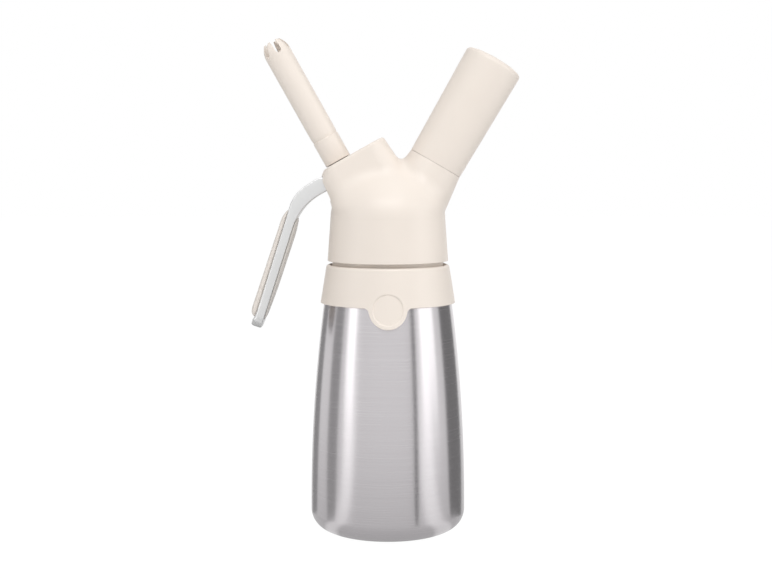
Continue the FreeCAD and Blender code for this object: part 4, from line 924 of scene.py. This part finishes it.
# Tulip: the long decorator nozzle, moulded in cream plastic. Three slots through its drawn-in
# end make six teeth.
TUBE_RADIUS, TUBE_BORE, TEETH_FOOT, TEETH_ROUND = 6.5, 5.0, 58.5, 12
TEETH_TURN, NOTCH_HALF, NOTCH_FLOOR = 12, 1.45, 59.95
tooth = np.radians(np.linspace(0, 30.4, 9))
tooth_out = np.stack([TUBE_RADIUS - TEETH_ROUND * (1 - np.cos(tooth)) * 1.5,
                      TEETH_FOOT + TEETH_ROUND * np.sin(tooth) * 1.054], -1)
tooth_in = tooth_out[::-1] - np.linspace(0.9, 1.5, 9)[:, None] * (1, 0)
tulip_path = np.concatenate([
    rounded_path([(TUBE_BORE, 12.9, 0), (6.12, 12.9, 0.05), (6.42, 14.4, 1.0), (TUBE_RADIUS, 18, 2.0),
                  (TUBE_RADIUS, 20, 0)]),
    finer(np.array([[TUBE_RADIUS, 20], [TUBE_RADIUS, TEETH_FOOT]]), 2.5),
    tooth_out[1:], tooth_in,
    finer(np.array([[TUBE_BORE, 58.4], [TUBE_BORE, 12.9]]), 3)])
tulip = piece("tulip_nozzle", leant(lathe(tulip_path, full_turn(144)), TIP_BASE, TIP_LEAN))


def notch(index):
    """A slot straight through both sides of the tube, with a round floor."""
    swing = np.radians(np.linspace(180, 360, 17))
    floor_line = np.stack([NOTCH_HALF * np.cos(swing), NOTCH_FLOOR + NOTCH_HALF * np.sin(swing)], -1)
    flat = np.concatenate([[[-NOTCH_HALF, 70]], floor_line, [[NOTCH_HALF, 70]], [[-NOTCH_HALF, 70]]])
    sides = np.array([-9.0, 9.0])
    loop = np.stack([np.stack([flat[:, 0], 0 * flat[:, 0] + side, flat[:, 1]], -1) for side in sides])
    middle = np.array([0, 0, 66.0])
    ends = [np.stack([loop[k], np.broadcast_to(middle + (0, sides[k], 0), loop[k].shape)]) for k in (0, 1)]
    turn = math.radians(60 * index + TEETH_TURN)
    spin = np.array([[math.cos(turn), math.sin(turn), 0], [-math.sin(turn), math.cos(turn), 0], [0, 0, 1]])
    return piece("notch_%d" % index, *(leant(grid @ spin, TIP_BASE, TIP_LEAN) for grid in (loop, *ends)))


carved(tulip, notch(0), notch(1), notch(2))
fit(tulip, "tip", "tulip_tip", cream)


# Charger: the gas cartridge, drawn from steel and plated. It lies in the holder with its neck
# on the needle.
cartridge = Finish("cartridge_plating", Metallic=1.0)
speckle = cartridge.grain((500, 500, 500), 4.0)
cartridge.shade(Base_Color=cartridge.tint(speckle, (0.52, 0.53, 0.55), (0.62, 0.63, 0.65)),
                Roughness=0.3 + speckle * 0.15, Normal=cartridge.bump(speckle, 0.1, 0.00004))
dress("charger", cartridge.material)


# Charger holder: a long cap, moulded in cream plastic, that widens towards its closed end. It
# screws on the boss by a metal thread ring in its mouth, and presses the cartridge home.
HOLDER_FOOT, HOLDER_WIDE, HOLDER_RIM, HOLDER_BORE, INSERT_BORE = 13.5, 14.38, 14.42, 9.4, 12.4
crown = np.linspace(14.1, 0, 14)[4:]
hollow = np.radians(np.linspace(0, 90, 12))
holder_path = np.concatenate([
    rounded_path([(INSERT_BORE, 0.1, 0), (13.39, 0.1, 0.12), (13.55, 5, 0)]),
    finer(np.array([[HOLDER_FOOT, 5], [HOLDER_WIDE, 53.0]]), 3)[1:],
    rounded_path([(HOLDER_WIDE, 53.0, 0), (HOLDER_RIM, 55.7, 2.0), (10.5, 56.8, 0)], 6),
    np.stack([crown, 57.7 - 2.0 * (crown / 14.45) ** 2], -1),
    np.stack([HOLDER_BORE * np.sin(hollow), 46.2 + HOLDER_BORE * np.cos(hollow)], -1),
    rounded_path([(HOLDER_BORE, 46, 0), (HOLDER_BORE, 12.2, 0), (INSERT_BORE, 12.2, 0),
                  (INSERT_BORE, 0.1, 0)])])
holder = piece("holder_cap", leant(lathe(holder_path, full_turn(240)), ARM_BASE, ARM_LEAN))
fit(holder, "holder", "charger_holder", cream)
dress("holder_thread_insert", boss_metal)

bpy.context.view_layer.update()
